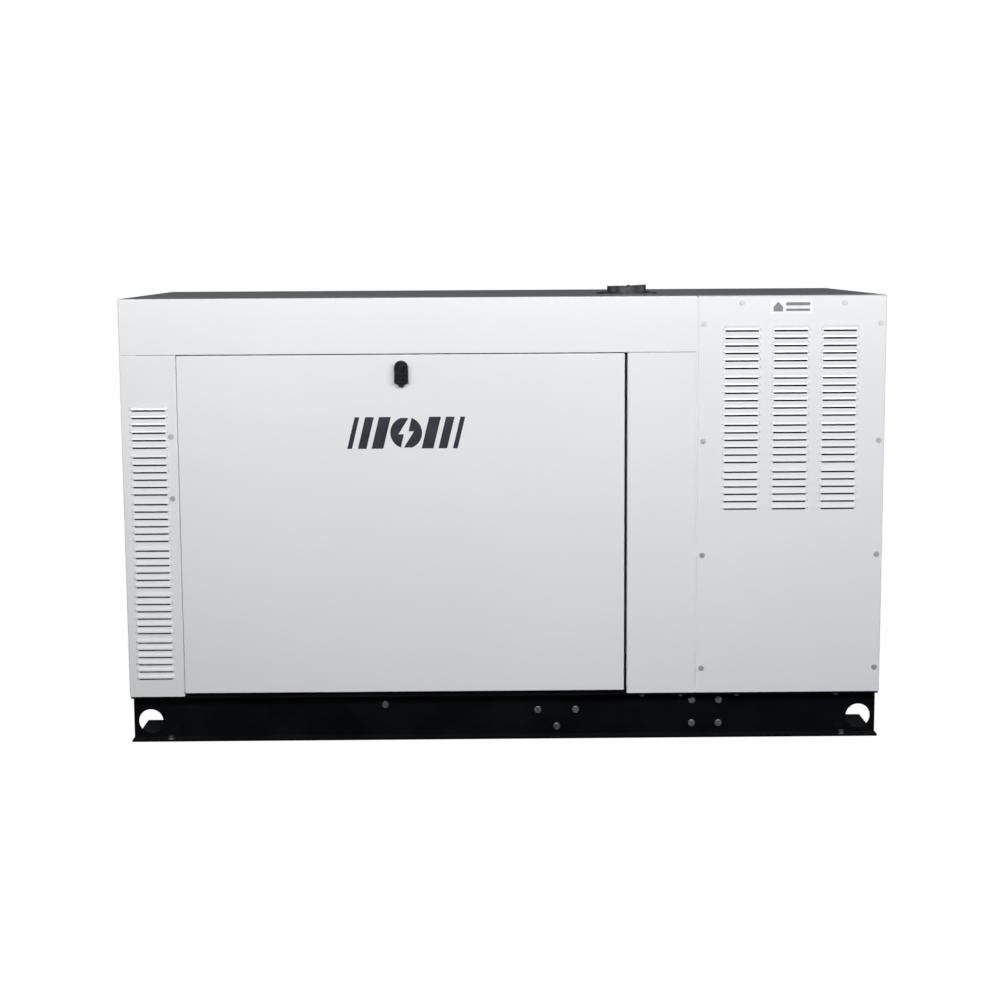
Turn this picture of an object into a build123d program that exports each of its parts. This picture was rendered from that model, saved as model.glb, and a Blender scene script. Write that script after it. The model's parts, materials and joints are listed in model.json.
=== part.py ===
from build123d import *
from math import cos, radians, sin
import os

# A liquid-cooled home standby generator: a sheet-metal enclosure on two outward-facing
# channel rails, with the engine, alternator, radiator and controls inside it.
# Frame: +X along the length to the right, +Y from the door side to the back, +Z up.
# The origin is at floor level under the middle of the base. All sizes are in millimetres.

os.makedirs("parts", exist_ok=True)

# ---------------------------------------------------------------- driving dimensions
LENGTH = 1950
DEPTH = 850
HEIGHT = 1148
SHEET = 2.0
BEND = 3.0
HALF = LENGTH / 2
FACE = DEPTH / 2

RAIL_HEIGHT = 120
RAIL_HALF = 972
RAIL_FLANGE = 38
RAIL_STEEL = 5
WEB_OUT = FACE - RAIL_FLANGE
WEB_IN = WEB_OUT - RAIL_STEEL
LIFT_X = 928
LIFT_Z = 46
LIFT_R = 32
ANCHOR_X = 932
ANCHOR_Y = 405
ANCHOR_R = 7

PANEL_BOTTOM = 120.5
SEAM_Z = 1006
POST_LEFT_X = -832
POST_RIGHT_X = 316
SEAM_X = 494.5
RETURN = 20

DOOR_LEFT = -831
DOOR_RIGHT = 309
DOOR_BOTTOM = 128.5
DOOR_TOP = 1004
DOOR_DEEP = 21.7
LATCH_X = -260
LATCH_Z = 971
LATCH_R = 18

LOUVER_PITCH = 19.05
LOUVER_GROUP = 120.35
LOUVER_SLOT = 85
LOUVER_TALL = 14
LOUVER_OUT = 6

CAP_X = 335
CAP_Y = -135

CRANK_Z = 380
FAN_Z = 540
FAN_R = 200
CHARGER_Y = -190
CHARGER_Z = 500
BELT_X = 80
BELT_WIDE = 20
PULLEY_CRANK_R = 75
PULLEY_FAN_R = 60
PULLEY_CHARGER_R = 35
RUN_GAP = 0.05
CLEAR = 0.3

# Bolts on each rail web: engine mount, bulkhead and single clip bolts, as (x, z).
MOUNT_BOLTS = [(86, 69), (185, 69), (135.5, 24.5)]
BULKHEAD_BOLTS = [(490, 30), (560, 30), (490, 92), (560, 92)]
CLIP_BOLTS = [(-313.5, 86)]
WEB_BOLTS = MOUNT_BOLTS + BULKHEAD_BOLTS + CLIP_BOLTS
WEB_BOLT_R = 5
HOLD_DOWN_X = [357, 458, 605, 864]
FOOT_BOLT_X = [-871, 879]


# ---------------------------------------------------------------- shared helpers
def block(low, high, mode=Mode.ADD):
    """A box between two corners, put into the part being built."""
    size = [h - l for l, h in zip(low, high)]
    middle = [(h + l) / 2 for l, h in zip(low, high)]
    with Locations(tuple(middle)):
        Box(*size, mode=mode)


def round_bar(start, end, radius, mode=Mode.ADD):
    """A cylinder between two points, put into the part being built."""
    axis = Vector(*end) - Vector(*start)
    with BuildSketch(Plane(origin=start, z_dir=axis)) as section:
        Circle(radius)
    extrude(section.sketch, amount=axis.length, mode=mode)


def upright_sheet(points, bottom, top):
    """A folded sheet wall standing up, its centre line through the points."""
    with BuildSketch(Plane.XY.offset(bottom)) as outline:
        with BuildLine():
            FilletPolyline(*points, radius=BEND)
        trace(line_width=SHEET)
    extrude(outline.sketch, amount=top - bottom)


def swept_tube(points, bend, radius, bore=0.0):
    """A round tube along straight runs joined by arcs."""
    with BuildLine() as route:
        FilletPolyline(*points, radius=bend)
    with BuildSketch(Plane(origin=route.line @ 0, z_dir=route.line % 0)) as section:
        Circle(radius)
        if bore:
            Circle(bore, mode=Mode.SUBTRACT)
    sweep(section.sketch, path=route.line)


def hex_heads(plane, points, across, tall):
    """Hexagon heads standing on a plane at the points."""
    with BuildSketch(plane) as heads:
        with Locations(*points):
            RegularPolygon(across / 2, 6, major_radius=False)
    extrude(heads.sketch, amount=tall)


def discs(plane, points, radius, tall, mode=Mode.ADD):
    """Round discs or holes standing on a plane at the points."""
    with BuildSketch(plane) as rounds:
        with Locations(*points):
            Circle(radius)
    extrude(rounds.sketch, amount=tall, mode=mode)


def finish(build, name):
    """Label a finished piece and write it."""
    build.part.label = name
    export_step(build.part, f"parts/{name}.step")


def finish_group(builds, name):
    """Write the separate pieces of one sub-assembly as one node."""
    group = Compound(label=name, children=[build.part for build in builds])
    export_step(group, f"parts/{name}.step")


# ---------------------------------------------------------------- louvers
# One pressed hood, open downwards: a thin shell that bulges out of the sheet, widest at its
# lip and fading into the sheet above, with faceted round ends. The middle of its slot is at
# the origin and the sheet's outer face is the plane y = 0.
LIP_Z = 2.2
SLOT_DROP = 2.6
HOOD_OUTSIDE = [(LIP_Z, LOUVER_OUT), (6.5, 5.4), (10.5, 3.4), (LOUVER_TALL, 0.3)]
HOOD_INSIDE = [(LIP_Z - 1, 4.7), (6.5, 4.0), (12.0, 0.2)]
HOOD_END_ANGLES = (0, 45, 90)


def hood_section(level, bulge, straight):
    """A level cut through the hood: a straight front with a round corner at each end."""
    right = [(straight / 2 + bulge * cos(radians(a)), -bulge * sin(radians(a))) for a in HOOD_END_ANGLES]
    left = [(-x, y) for x, y in reversed(right)]
    with BuildSketch(Plane.XY.offset(level)) as section:
        with BuildLine():
            Polyline(*right, *left, close=True)
        make_face()
    return section.sketch


with BuildPart() as louver_hood:
    outside = [hood_section(level, bulge, LOUVER_SLOT) for level, bulge in HOOD_OUTSIDE]
    loft(outside, ruled=True)
    inside = [hood_section(level, bulge, LOUVER_SLOT - 1) for level, bulge in HOOD_INSIDE]
    loft(inside, ruled=True, mode=Mode.SUBTRACT)


def louver_slots(columns, top_slot, groups, rows=6):
    """The (across, z) middles of louver slots in columns of spaced groups."""
    drops = [g * LOUVER_GROUP + r * LOUVER_PITCH for g in range(groups) for r in range(rows)]
    return [(across, top_slot - drop) for across in columns for drop in drops]


def press_louvers(slots, turn, out):
    """Cut slots in an upright sheet and fuse a hood over each. turn is the sheet's heading."""
    spin = Location((0, 0, 0), (0, 0, turn))
    places = [spin * Location((across, -out, z)) for across, z in slots]
    cut_tall = SLOT_DROP + LOUVER_TALL * 0.6
    with Locations(*[place * Location((0, 0, cut_tall / 2 - SLOT_DROP)) for place in places]):
        Box(LOUVER_SLOT, SHEET * 4, cut_tall, mode=Mode.SUBTRACT)
    with Locations(*places):
        add(louver_hood.part)


# ---------------------------------------------------------------- base
def rail(side):
    """Cut and shape one rail: side is -1 at the front and 1 at the back."""
    block((-RAIL_HALF, min(side * WEB_IN, side * WEB_OUT), 0),
          (RAIL_HALF, max(side * WEB_IN, side * WEB_OUT), RAIL_HEIGHT))
    tip = FACE - 2
    for low_z in (0, RAIL_HEIGHT - RAIL_STEEL):
        block((-RAIL_HALF, min(side * WEB_OUT, side * tip), low_z),
              (RAIL_HALF, max(side * WEB_OUT, side * tip), low_z + RAIL_STEEL))
    outside = Plane.XZ.offset(-side * FACE)
    through = side * (RAIL_FLANGE + 20)
    discs(outside, [(-LIFT_X, LIFT_Z), (LIFT_X, LIFT_Z)], LIFT_R, through, Mode.SUBTRACT)
    discs(outside, WEB_BOLTS, WEB_BOLT_R + CLEAR, through, Mode.SUBTRACT)
    anchors = [(-ANCHOR_X, side * ANCHOR_Y), (ANCHOR_X, side * ANCHOR_Y)]
    discs(Plane.XY, anchors, ANCHOR_R, RAIL_STEEL, Mode.SUBTRACT)


with BuildPart() as front_rail:
    rail(-1)
finish(front_rail, "front_rail")

with BuildPart() as rear_rail:
    rail(1)
finish(rear_rail, "rear_rail")

# Box-section ties between the webs, and a foot plate in each corner of the base.
TIE_X = [-690, -330, 135, 420, 700]
TIE_WIDE = 60
TIE_TOP = 114
TIE_WALL = 4
PLATE_TOP = 12
PLATE_START = 830
PLATE_END = 962
PLATE_DEEP = 145
with BuildPart() as cross_members:
    for tie in TIE_X:
        bore = TIE_WIDE / 2 - TIE_WALL
        block((tie - TIE_WIDE / 2, -WEB_IN, TIE_TOP - TIE_WIDE), (tie + TIE_WIDE / 2, WEB_IN, TIE_TOP))
        block((tie - bore, -WEB_IN - 1, TIE_TOP - TIE_WIDE + TIE_WALL),
              (tie + bore, WEB_IN + 1, TIE_TOP - TIE_WALL), Mode.SUBTRACT)
    for end in (-1, 1):
        for side in (-1, 1):
            x_low, x_high = sorted((end * PLATE_START, end * PLATE_END))
            y_low, y_high = sorted((side * (WEB_IN - PLATE_DEEP), side * WEB_IN))
            block((x_low, y_low, PLATE_TOP - 6), (x_high, y_high, PLATE_TOP))

FLOOR_TOP = TIE_TOP + 2
with BuildPart() as floor_sheet:
    block((-960, -WEB_IN + CLEAR, TIE_TOP), (960, WEB_IN - CLEAR, FLOOR_TOP))
    with Locations((-540, 0, TIE_TOP), (-110, 0, TIE_TOP), (560, 0, TIE_TOP)):
        Box(120, 300, 10, mode=Mode.SUBTRACT)

# Hexagon bolts: through the webs, up through the top flanges, and down into the feet.
with BuildPart() as base_bolts:
    for side in (-1, 1):
        web_face = Plane.XZ.offset(-side * WEB_OUT)
        discs(web_face, WEB_BOLTS, 9, -side * 1.5)
        hex_heads(Plane.XZ.offset(-side * (WEB_OUT + 1.5)), WEB_BOLTS, 15, -side * 6.5)
        discs(Plane.XZ.offset(-side * WEB_OUT), WEB_BOLTS, WEB_BOLT_R, side * RAIL_STEEL)
        under = [(x, side * (FACE - 18)) for x in HOLD_DOWN_X]
        hex_heads(Plane.XY.offset(RAIL_HEIGHT - RAIL_STEEL - 6.5), under, 13, 6.5)
        feet = [(x, side * (FACE - 14)) for x in FOOT_BOLT_X]
        discs(Plane.XY.offset(RAIL_STEEL), feet, 9, 1.5)
        hex_heads(Plane.XY.offset(RAIL_STEEL + 1.5), feet, 15, 7)
finish(base_bolts, "base_bolts")

# ---------------------------------------------------------------- enclosure panels
LEFT_COLUMN = [-905]
LEFT_TOP_SLOT = 865
RIGHT_COLUMNS = [607, 732, 857]
RIGHT_TOP_SLOT = 1058.6
WALL_LINE = FACE - SHEET / 2
END_LINE = HALF - SHEET / 2


def left_panel(side):
    """Louvered panel beside the door opening, folded round the left corner."""
    edge = POST_LEFT_X - SHEET / 2
    upright_sheet([(edge, side * (FACE - RETURN)), (edge, side * WALL_LINE),
                   (-END_LINE, side * WALL_LINE), (-END_LINE, side * (FACE - RETURN))],
                  PANEL_BOTTOM, SEAM_Z - 0.6)


def right_panel(side):
    """Tall louvered panel of the discharge end, folded round the right corner."""
    edge = SEAM_X + SHEET / 2
    upright_sheet([(edge, side * (FACE - RETURN)), (edge, side * WALL_LINE),
                   (END_LINE, side * WALL_LINE), (END_LINE, side * (FACE - RETURN))],
                  PANEL_BOTTOM, HEIGHT - SHEET - 0.3)


with BuildPart() as left_front_panel:
    left_panel(-1)
    press_louvers(louver_slots(LEFT_COLUMN, LEFT_TOP_SLOT, 6), 0, FACE)
finish(left_front_panel, "left_front_panel")

with BuildPart() as right_post_panel:
    upright_sheet([(POST_RIGHT_X + SHEET / 2, -(FACE - RETURN)), (POST_RIGHT_X + SHEET / 2, -WALL_LINE),
                   (SEAM_X - 1.5, -WALL_LINE), (SEAM_X - 1.5, -(FACE - RETURN))],
                  PANEL_BOTTOM, SEAM_Z - 0.6)
finish(right_post_panel, "right_post_panel")

with BuildPart() as right_front_panel:
    right_panel(-1)
    press_louvers(louver_slots(RIGHT_COLUMNS, RIGHT_TOP_SLOT, 4), 0, FACE)
finish(right_front_panel, "right_front_panel")

with BuildPart() as rear_left_panel:
    left_panel(1)
    mirrored_columns = [-x for x in LEFT_COLUMN]
    press_louvers(louver_slots(mirrored_columns, LEFT_TOP_SLOT, 6), 180, FACE)
finish(rear_left_panel, "rear_left_panel")

with BuildPart() as rear_right_panel:
    right_panel(1)
    mirrored_columns = [-x for x in RIGHT_COLUMNS]
    press_louvers(louver_slots(mirrored_columns, RIGHT_TOP_SLOT, 4), 180, FACE)
finish(rear_right_panel, "rear_right_panel")

# The plain middle of the back, with the fuel inlet hole and the cable gland plate opening.
GAS_X = -60
GAS_Z = 205
ENTRY_X = -640
ENTRY_Z = 230
with BuildPart() as rear_service_panel:
    upright_sheet([(POST_LEFT_X + 1.5, FACE - RETURN), (POST_LEFT_X + 1.5, WALL_LINE),
                   (SEAM_X - 1.5, WALL_LINE), (SEAM_X - 1.5, FACE - RETURN)],
                  PANEL_BOTTOM, SEAM_Z - 0.6)
    discs(Plane.XZ.offset(-FACE + 10), [(GAS_X, GAS_Z)], 18, -20, Mode.SUBTRACT)
    block((ENTRY_X - 80, FACE - 10, ENTRY_Z - 50), (ENTRY_X + 80, FACE + 10, ENTRY_Z + 50), Mode.SUBTRACT)
finish(rear_service_panel, "rear_service_panel")

CONDUIT_R = 25.5
with BuildPart() as cable_entry_plate:
    block((ENTRY_X - 95, FACE, ENTRY_Z - 65), (ENTRY_X + 95, FACE + 3, ENTRY_Z + 65))
    fillet(cable_entry_plate.edges().filter_by(Axis.Y), 8)
    discs(Plane.XZ.offset(-FACE + 10), [(ENTRY_X - 40, ENTRY_Z), (ENTRY_X + 40, ENTRY_Z)],
          CONDUIT_R, -20, Mode.SUBTRACT)
finish(cable_entry_plate, "cable_entry_plate")

END_TOP = 1107
END_HALF = FACE - RETURN - 0.6
with BuildPart() as left_end_wall:
    block((-HALF, -END_HALF, PANEL_BOTTOM), (-HALF + SHEET, END_HALF, END_TOP))
    press_louvers(louver_slots([-125, 0, 125], LEFT_TOP_SLOT, 3), -90, HALF)
finish(left_end_wall, "left_end_wall")

with BuildPart() as right_end_wall:
    block((HALF - SHEET, -END_HALF, PANEL_BOTTOM), (HALF, END_HALF, END_TOP))
    press_louvers(louver_slots([-250, -125, 0, 125, 250], 1000, 3), 90, HALF)
finish(right_end_wall, "right_end_wall")

# Roof: a folded tray with deep skirts over the doors and shallow ones over the ends.
ROOF_HOLE_R = 46
with BuildPart() as roof_cover:
    block((-HALF, -FACE, SEAM_Z + 0.5), (HALF, FACE, HEIGHT))
    fillet(roof_cover.edges().filter_by(Axis.Z), 4)
    fillet(roof_cover.faces().sort_by(Axis.Z)[-1].edges(), 3)
    block((-HALF + SHEET, -FACE + SHEET, SEAM_Z), (HALF - SHEET, FACE - SHEET, HEIGHT - SHEET), Mode.SUBTRACT)
    block((SEAM_X - 2, -FACE - 1, SEAM_Z), (HALF + 1, FACE + 1, HEIGHT - SHEET), Mode.SUBTRACT)
    block((-HALF - 1, -FACE + RETURN, SEAM_Z), (-HALF + SHEET, FACE - RETURN, END_TOP + 0.6), Mode.SUBTRACT)
    block((HALF - SHEET, -END_HALF, END_TOP + 0.6), (HALF, END_HALF, HEIGHT - SHEET))
    for side in (-1, 1):
        inner = side * (FACE - SHEET - 1)
        block((SEAM_X + 6, min(inner, inner - side * SHEET), 1112),
              (HALF - 8, max(inner, inner - side * SHEET), HEIGHT - SHEET))
    discs(Plane.XY.offset(HEIGHT - 20), [(CAP_X, CAP_Y)], ROOF_HOLE_R, 40, Mode.SUBTRACT)
finish(roof_cover, "roof_cover")

# Inner frame: corner angles and the posts that carry the panels' edges.
POST_OUT = 1.0
with BuildPart() as corner_posts:
    for end in (-1, 1):
        for side in (-1, 1):
            x_out = end * (HALF - SHEET - POST_OUT)
            y_out = side * (FACE - SHEET - POST_OUT)
            top = 1104
            block((min(x_out, x_out - end * 40), min(y_out, y_out - side * 3), RAIL_HEIGHT),
                  (max(x_out, x_out - end * 40), max(y_out, y_out - side * 3), top))
            block((min(x_out, x_out - end * 3), min(y_out, y_out - side * 40), RAIL_HEIGHT),
                  (max(x_out, x_out - end * 3), max(y_out, y_out - side * 40), top))

# Door opening frame, welded from four bars behind the door: a flat head that the latch cam
# turns behind, and a sill and two jambs with a fold along their outer edges.
FRAME_FACE = -400
FRAME_DEEP = 30
FRAME_STEEL = 3
RING_LOW = (POST_LEFT_X + 2, 121)
RING_HIGH = (POST_RIGHT_X - 2, SEAM_Z - 2)
OPEN_LOW = (-796, 166)
OPEN_HIGH = (276, 990)
with BuildPart() as frame_head:
    block((RING_LOW[0], FRAME_FACE, OPEN_HIGH[1]), (RING_HIGH[0], FRAME_FACE + FRAME_STEEL, RING_HIGH[1]))

with BuildPart() as frame_sill:
    block((RING_LOW[0], FRAME_FACE, RING_LOW[1]), (RING_HIGH[0], FRAME_FACE + FRAME_STEEL, OPEN_LOW[1]))
    block((RING_LOW[0], FRAME_FACE, RING_LOW[1]),
          (RING_HIGH[0], FRAME_FACE + FRAME_DEEP, RING_LOW[1] + FRAME_STEEL))

with BuildPart() as left_jamb:
    block((RING_LOW[0], FRAME_FACE, OPEN_LOW[1]), (OPEN_LOW[0], FRAME_FACE + FRAME_STEEL, OPEN_HIGH[1]))
    block((RING_LOW[0], FRAME_FACE, OPEN_LOW[1]),
          (RING_LOW[0] + FRAME_STEEL, FRAME_FACE + FRAME_DEEP, OPEN_HIGH[1]))

with BuildPart() as right_jamb:
    block((OPEN_HIGH[0], FRAME_FACE, OPEN_LOW[1]), (RING_HIGH[0], FRAME_FACE + FRAME_STEEL, OPEN_HIGH[1]))
    block((RING_HIGH[0] - FRAME_STEEL, FRAME_FACE, OPEN_LOW[1]),
          (RING_HIGH[0], FRAME_FACE + FRAME_DEEP, OPEN_HIGH[1]))

SEAL_THICK = 2.7
with BuildPart() as door_seal:
    block((RING_LOW[0], FRAME_FACE - SEAL_THICK, RING_LOW[1] + 1), (RING_HIGH[0], FRAME_FACE, RING_HIGH[1]))
    block((OPEN_LOW[0] - 12, FRAME_FACE - 10, OPEN_LOW[1] - 12),
          (OPEN_HIGH[0] + 12, FRAME_FACE + 10, OPEN_HIGH[1] + 3), Mode.SUBTRACT)
finish(door_seal, "door_seal")

PARTITION_X = 377
PIPE_Y = 350
PIPE_Z = 640
with BuildPart() as partition:
    block((PARTITION_X, -379, FLOOR_TOP), (PARTITION_X + SHEET, 379, 1100))
    block((PARTITION_X - 5, -262, 262), (PARTITION_X + 5, 262, 818), Mode.SUBTRACT)
    discs(Plane.YZ.offset(PARTITION_X - 5), [(PIPE_Y - 4, PIPE_Z)], 34, 10, Mode.SUBTRACT)

# Washer-head screws on every outside face.
SCREW_R = 7
SCREW_TALL = 3.6
FRONT_SCREWS = [(x, z) for x in (510, 960) for z in (1076, 777, 482, 185)]
FRONT_SCREWS += [(606, 1129), (867, 1129), (-849, 798), (-849, 639)]
REAR_SCREWS = FRONT_SCREWS + [(x, z) for x in (-815, -380, 50, 478) for z in (145, 982)]
END_SCREWS = [(y, z) for y in (-396, 396) for z in (1070, 777, 482, 192)]
with BuildPart() as enclosure_screws:
    for plane, points, sign in ((Plane.XZ.offset(FACE), FRONT_SCREWS, 1),
                                (Plane.XZ.offset(-FACE), REAR_SCREWS, -1),
                                (Plane.YZ.offset(HALF), END_SCREWS, 1),
                                (Plane.YZ.offset(-HALF), END_SCREWS, -1)):
        discs(plane, points, SCREW_R, sign * 1.2)
        hex_heads(plane.offset(sign * 1.2), points, 8, sign * (SCREW_TALL - 1.2))
finish(enclosure_screws, "enclosure_screws")

# ---------------------------------------------------------------- filler cap on the roof
# A flanged collar whose left half is a fixed cover and whose right half is a hinged flap.
COLLAR_R = 52
COLLAR_TALL = 20
HINGE_X = CAP_X + 6 + CLEAR
HINGE_Z = HEIGHT + COLLAR_TALL + 1
HINGE_R = 2
with BuildPart() as filler_collar:
    discs(Plane.XY.offset(HEIGHT), [(CAP_X, CAP_Y)], 80, 3)
    discs(Plane.XY.offset(HEIGHT), [(CAP_X, CAP_Y)], COLLAR_R, COLLAR_TALL)
    discs(Plane.XY.offset(HEIGHT), [(CAP_X, CAP_Y)], COLLAR_R - 7, COLLAR_TALL - 3, Mode.SUBTRACT)
    block((CAP_X + 6, CAP_Y - 60, HEIGHT + 12), (CAP_X + 60, CAP_Y + 60, HEIGHT + 40), Mode.SUBTRACT)
    discs(Plane.XY.offset(HEIGHT - 5), [(CAP_X, CAP_Y)], ROOF_HOLE_R - 2, 8, Mode.SUBTRACT)
    block((CAP_X, CAP_Y - 46, HEIGHT - 5), (CAP_X + 6, CAP_Y + 46, HEIGHT + COLLAR_TALL - 3), Mode.SUBTRACT)
    round_bar((HINGE_X, CAP_Y - 60, HINGE_Z), (HINGE_X, CAP_Y + 60, HINGE_Z), HINGE_R + CLEAR, Mode.SUBTRACT)
finish(filler_collar, "filler_collar")

with BuildPart() as filler_lid:
    with BuildSketch(Plane.XY.offset(HEIGHT + 12 + CLEAR)) as lid_round:
        with Locations((CAP_X, CAP_Y)):
            Circle(COLLAR_R)
        with Locations((CAP_X - 60 + 6 + CLEAR, CAP_Y)):
            Rectangle(120, 120, mode=Mode.SUBTRACT)
    extrude(lid_round.sketch, amount=16)
    slope = Plane(origin=(CAP_X + 6, CAP_Y, HEIGHT + COLLAR_TALL), x_dir=(1, 0, 0.07), z_dir=(-0.07, 0, 1))
    with BuildSketch(slope) as above:
        Rectangle(200, 200)
    extrude(above.sketch, amount=30, mode=Mode.SUBTRACT)
    round_bar((HINGE_X, CAP_Y - 40, HINGE_Z), (HINGE_X, CAP_Y + 40, HINGE_Z), HINGE_R)
finish(filler_lid, "filler_lid")

# ---------------------------------------------------------------- door and latch
with BuildPart() as front_door:
    block((DOOR_LEFT, -FACE, DOOR_BOTTOM), (DOOR_RIGHT, -FACE + DOOR_DEEP, DOOR_TOP))
    fillet(front_door.edges().filter_by(Axis.Y), 3)
    fillet(front_door.faces().sort_by(Axis.Y)[0].edges(), 2)
    block((DOOR_LEFT + SHEET, -FACE + SHEET, DOOR_BOTTOM + SHEET),
          (DOOR_RIGHT - SHEET, -FACE + 40, DOOR_TOP - SHEET), Mode.SUBTRACT)
    discs(Plane.XZ.offset(FACE + 5), [(LATCH_X, LATCH_Z)], 14, -20, Mode.SUBTRACT)
finish(front_door, "front_door")

with BuildPart() as door_lining:
    block((DOOR_LEFT + 25, -FACE + SHEET, DOOR_BOTTOM + 45), (DOOR_RIGHT - 25, -FACE + 18, DOOR_TOP - 60))
    fillet(door_lining.edges().filter_by(Axis.Y), 12)
finish(door_lining, "door_lining")

# Latch: a fixed escutcheon with a sleeve through the door, and a turning handle with a cam.
LATCH_LOW = 930
BEZEL_Y = FACE + 4
with BuildPart() as latch_body:
    with BuildSketch(Plane.XZ.offset(FACE)) as escutcheon:
        with Locations((LATCH_X, LATCH_Z)):
            Circle(LATCH_R)
        with Locations((LATCH_X, (LATCH_Z + LATCH_LOW) / 2)):
            Rectangle(2 * LATCH_R, LATCH_Z - LATCH_LOW)
    extrude(escutcheon.sketch, amount=4)
    round_bar((LATCH_X, -FACE, LATCH_Z), (LATCH_X, -402, LATCH_Z), 13.7)
    round_bar((LATCH_X, -FACE - 5, LATCH_Z), (LATCH_X, -400, LATCH_Z), 8 + RUN_GAP, Mode.SUBTRACT)
finish(latch_body, "latch_body")

with BuildPart() as latch_handle:
    with BuildSketch(Plane.XZ.offset(BEZEL_Y + CLEAR)) as paddle:
        with Locations((LATCH_X, LATCH_Z)):
            Circle(LATCH_R - 1)
        with Locations((LATCH_X, (LATCH_Z + LATCH_LOW) / 2)):
            Rectangle(2 * LATCH_R - 2, LATCH_Z - LATCH_LOW)
        with Locations((LATCH_X, LATCH_LOW)):
            Circle(10)
        with Locations((LATCH_X, LATCH_LOW - 2)):
            Circle(4, mode=Mode.SUBTRACT)
    extrude(paddle.sketch, amount=17)
    for ridge in range(4):
        ridge_z = 938 + 6 * ridge
        block((LATCH_X - 20, -BEZEL_Y - 18, ridge_z), (LATCH_X + 20, -BEZEL_Y - 15.5, ridge_z + 2),
              Mode.SUBTRACT)
    round_bar((LATCH_X, -BEZEL_Y - 1, LATCH_Z), (LATCH_X, -389, LATCH_Z), 8)
    block((LATCH_X - 8, -394, LATCH_Z - 6), (LATCH_X + 26, -390, LATCH_Z + 6))
finish(latch_handle, "latch_handle")

# ---------------------------------------------------------------- engine
BLOCK_BACK = -380
BLOCK_FRONT = 60
SHAFT_R = 30
with BuildPart() as engine_block:
    block((BLOCK_BACK, -120, 290), (BLOCK_FRONT, 120, 560))
    chamfer(engine_block.edges().filter_by(Axis.X).group_by(Axis.Z)[0], 25)
    for rib in range(9):
        rib_x = BLOCK_BACK + 20 + rib * 50
        for side in (-1, 1):
            block((rib_x, min(side * 118, side * 127), 330), (rib_x + 8, max(side * 118, side * 127), 540))
    round_bar((BLOCK_BACK + 15, 0, CRANK_Z), (BLOCK_FRONT - 15, 0, CRANK_Z), 82, Mode.SUBTRACT)
    round_bar((BLOCK_BACK - 5, 0, CRANK_Z), (BLOCK_FRONT + 5, 0, CRANK_Z), SHAFT_R + RUN_GAP, Mode.SUBTRACT)
    round_bar((-262, -135, 337), (-262, -135, 560), 7)
    block((-269, -135, 400), (-255, -118, 430))
    block((-269, -135, 520), (-255, -118, 540))
    round_bar((-262, -135, 345), (-262, -135, 570), 4, Mode.SUBTRACT)

with BuildPart() as oil_pan:
    block((BLOCK_BACK + 10, -108, 200), (BLOCK_FRONT - 10, 108, 290))
    fillet(oil_pan.edges().filter_by(Axis.Z), 20)
    fillet(oil_pan.faces().sort_by(Axis.Z)[0].edges(), 14)
    block((BLOCK_BACK + 2, -118, 284), (BLOCK_FRONT - 2, 118, 290))
    block((BLOCK_BACK + 18, -90, 215), (BLOCK_FRONT - 25, 90, 290), Mode.SUBTRACT)
finish(oil_pan, "oil_pan")

PORT_X = [-310, -215, -105, -10]
with BuildPart() as cylinder_head:
    block((BLOCK_BACK + 5, -115, 560), (BLOCK_FRONT - 5, 115, 675))
    fillet(cylinder_head.edges().filter_by(Axis.Z), 12)
    with Locations(*[(x, 0, 675) for x in (-340, -240, -160, -80, 20)]):
        Cylinder(7, 12)
finish(cylinder_head, "cylinder_head")

with BuildPart() as valve_cover:
    block((BLOCK_BACK + 15, -100, 681), (BLOCK_FRONT - 15, 100, 745))
    fillet(valve_cover.edges().filter_by(Axis.Z), 25)
    fillet(valve_cover.faces().sort_by(Axis.Z)[-1].edges(), 18)
    block((BLOCK_BACK + 10, -110, 681), (BLOCK_FRONT - 10, 110, 687))
    for rib in range(6):
        block((-330 + rib * 36, -70, 743), (-320 + rib * 36, 70, 749))
    discs(Plane.XY.offset(740), [(-20, 0)], 26, 15)
    discs(Plane.XY.offset(745), [(-20, 0)], 15, 15, Mode.SUBTRACT)
finish(valve_cover, "valve_cover")

with BuildPart() as oil_fill_cap:
    discs(Plane.XY.offset(755 + CLEAR), [(-20, 0)], 30, 14)
    fillet(oil_fill_cap.faces().sort_by(Axis.Z)[-1].edges(), 3)
    block((-46, -5, 765), (6, 5, 781))
    discs(Plane.XY.offset(748), [(-20, 0)], 14.5, 10)
finish(oil_fill_cap, "oil_fill_cap")

with BuildPart() as dipstick:
    round_bar((-262, -135, 350), (-262, -135, 575), 2)
    round_bar((-262, -135, 560 + CLEAR), (-262, -135, 572), 8)
    with Locations((-262, -135, 584)):
        Torus(12, 3, rotation=(90, 0, 0))
finish(dipstick, "dipstick")

with BuildPart() as timing_cover:
    block((BLOCK_FRONT, -105, 300), (BLOCK_FRONT + 12, 105, 480))
    fillet(timing_cover.edges().filter_by(Axis.X), 40)
    round_bar((BLOCK_FRONT, 0, FAN_Z - 10), (BLOCK_FRONT + 12, 0, FAN_Z - 10), 62)
    round_bar((BLOCK_FRONT - 1, 0, CRANK_Z), (BLOCK_FRONT + 20, 0, CRANK_Z), 22, Mode.SUBTRACT)
    round_bar((BLOCK_FRONT + 1, 0, FAN_Z), (BLOCK_FRONT + 20, 0, FAN_Z), 12 + RUN_GAP, Mode.SUBTRACT)

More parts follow.
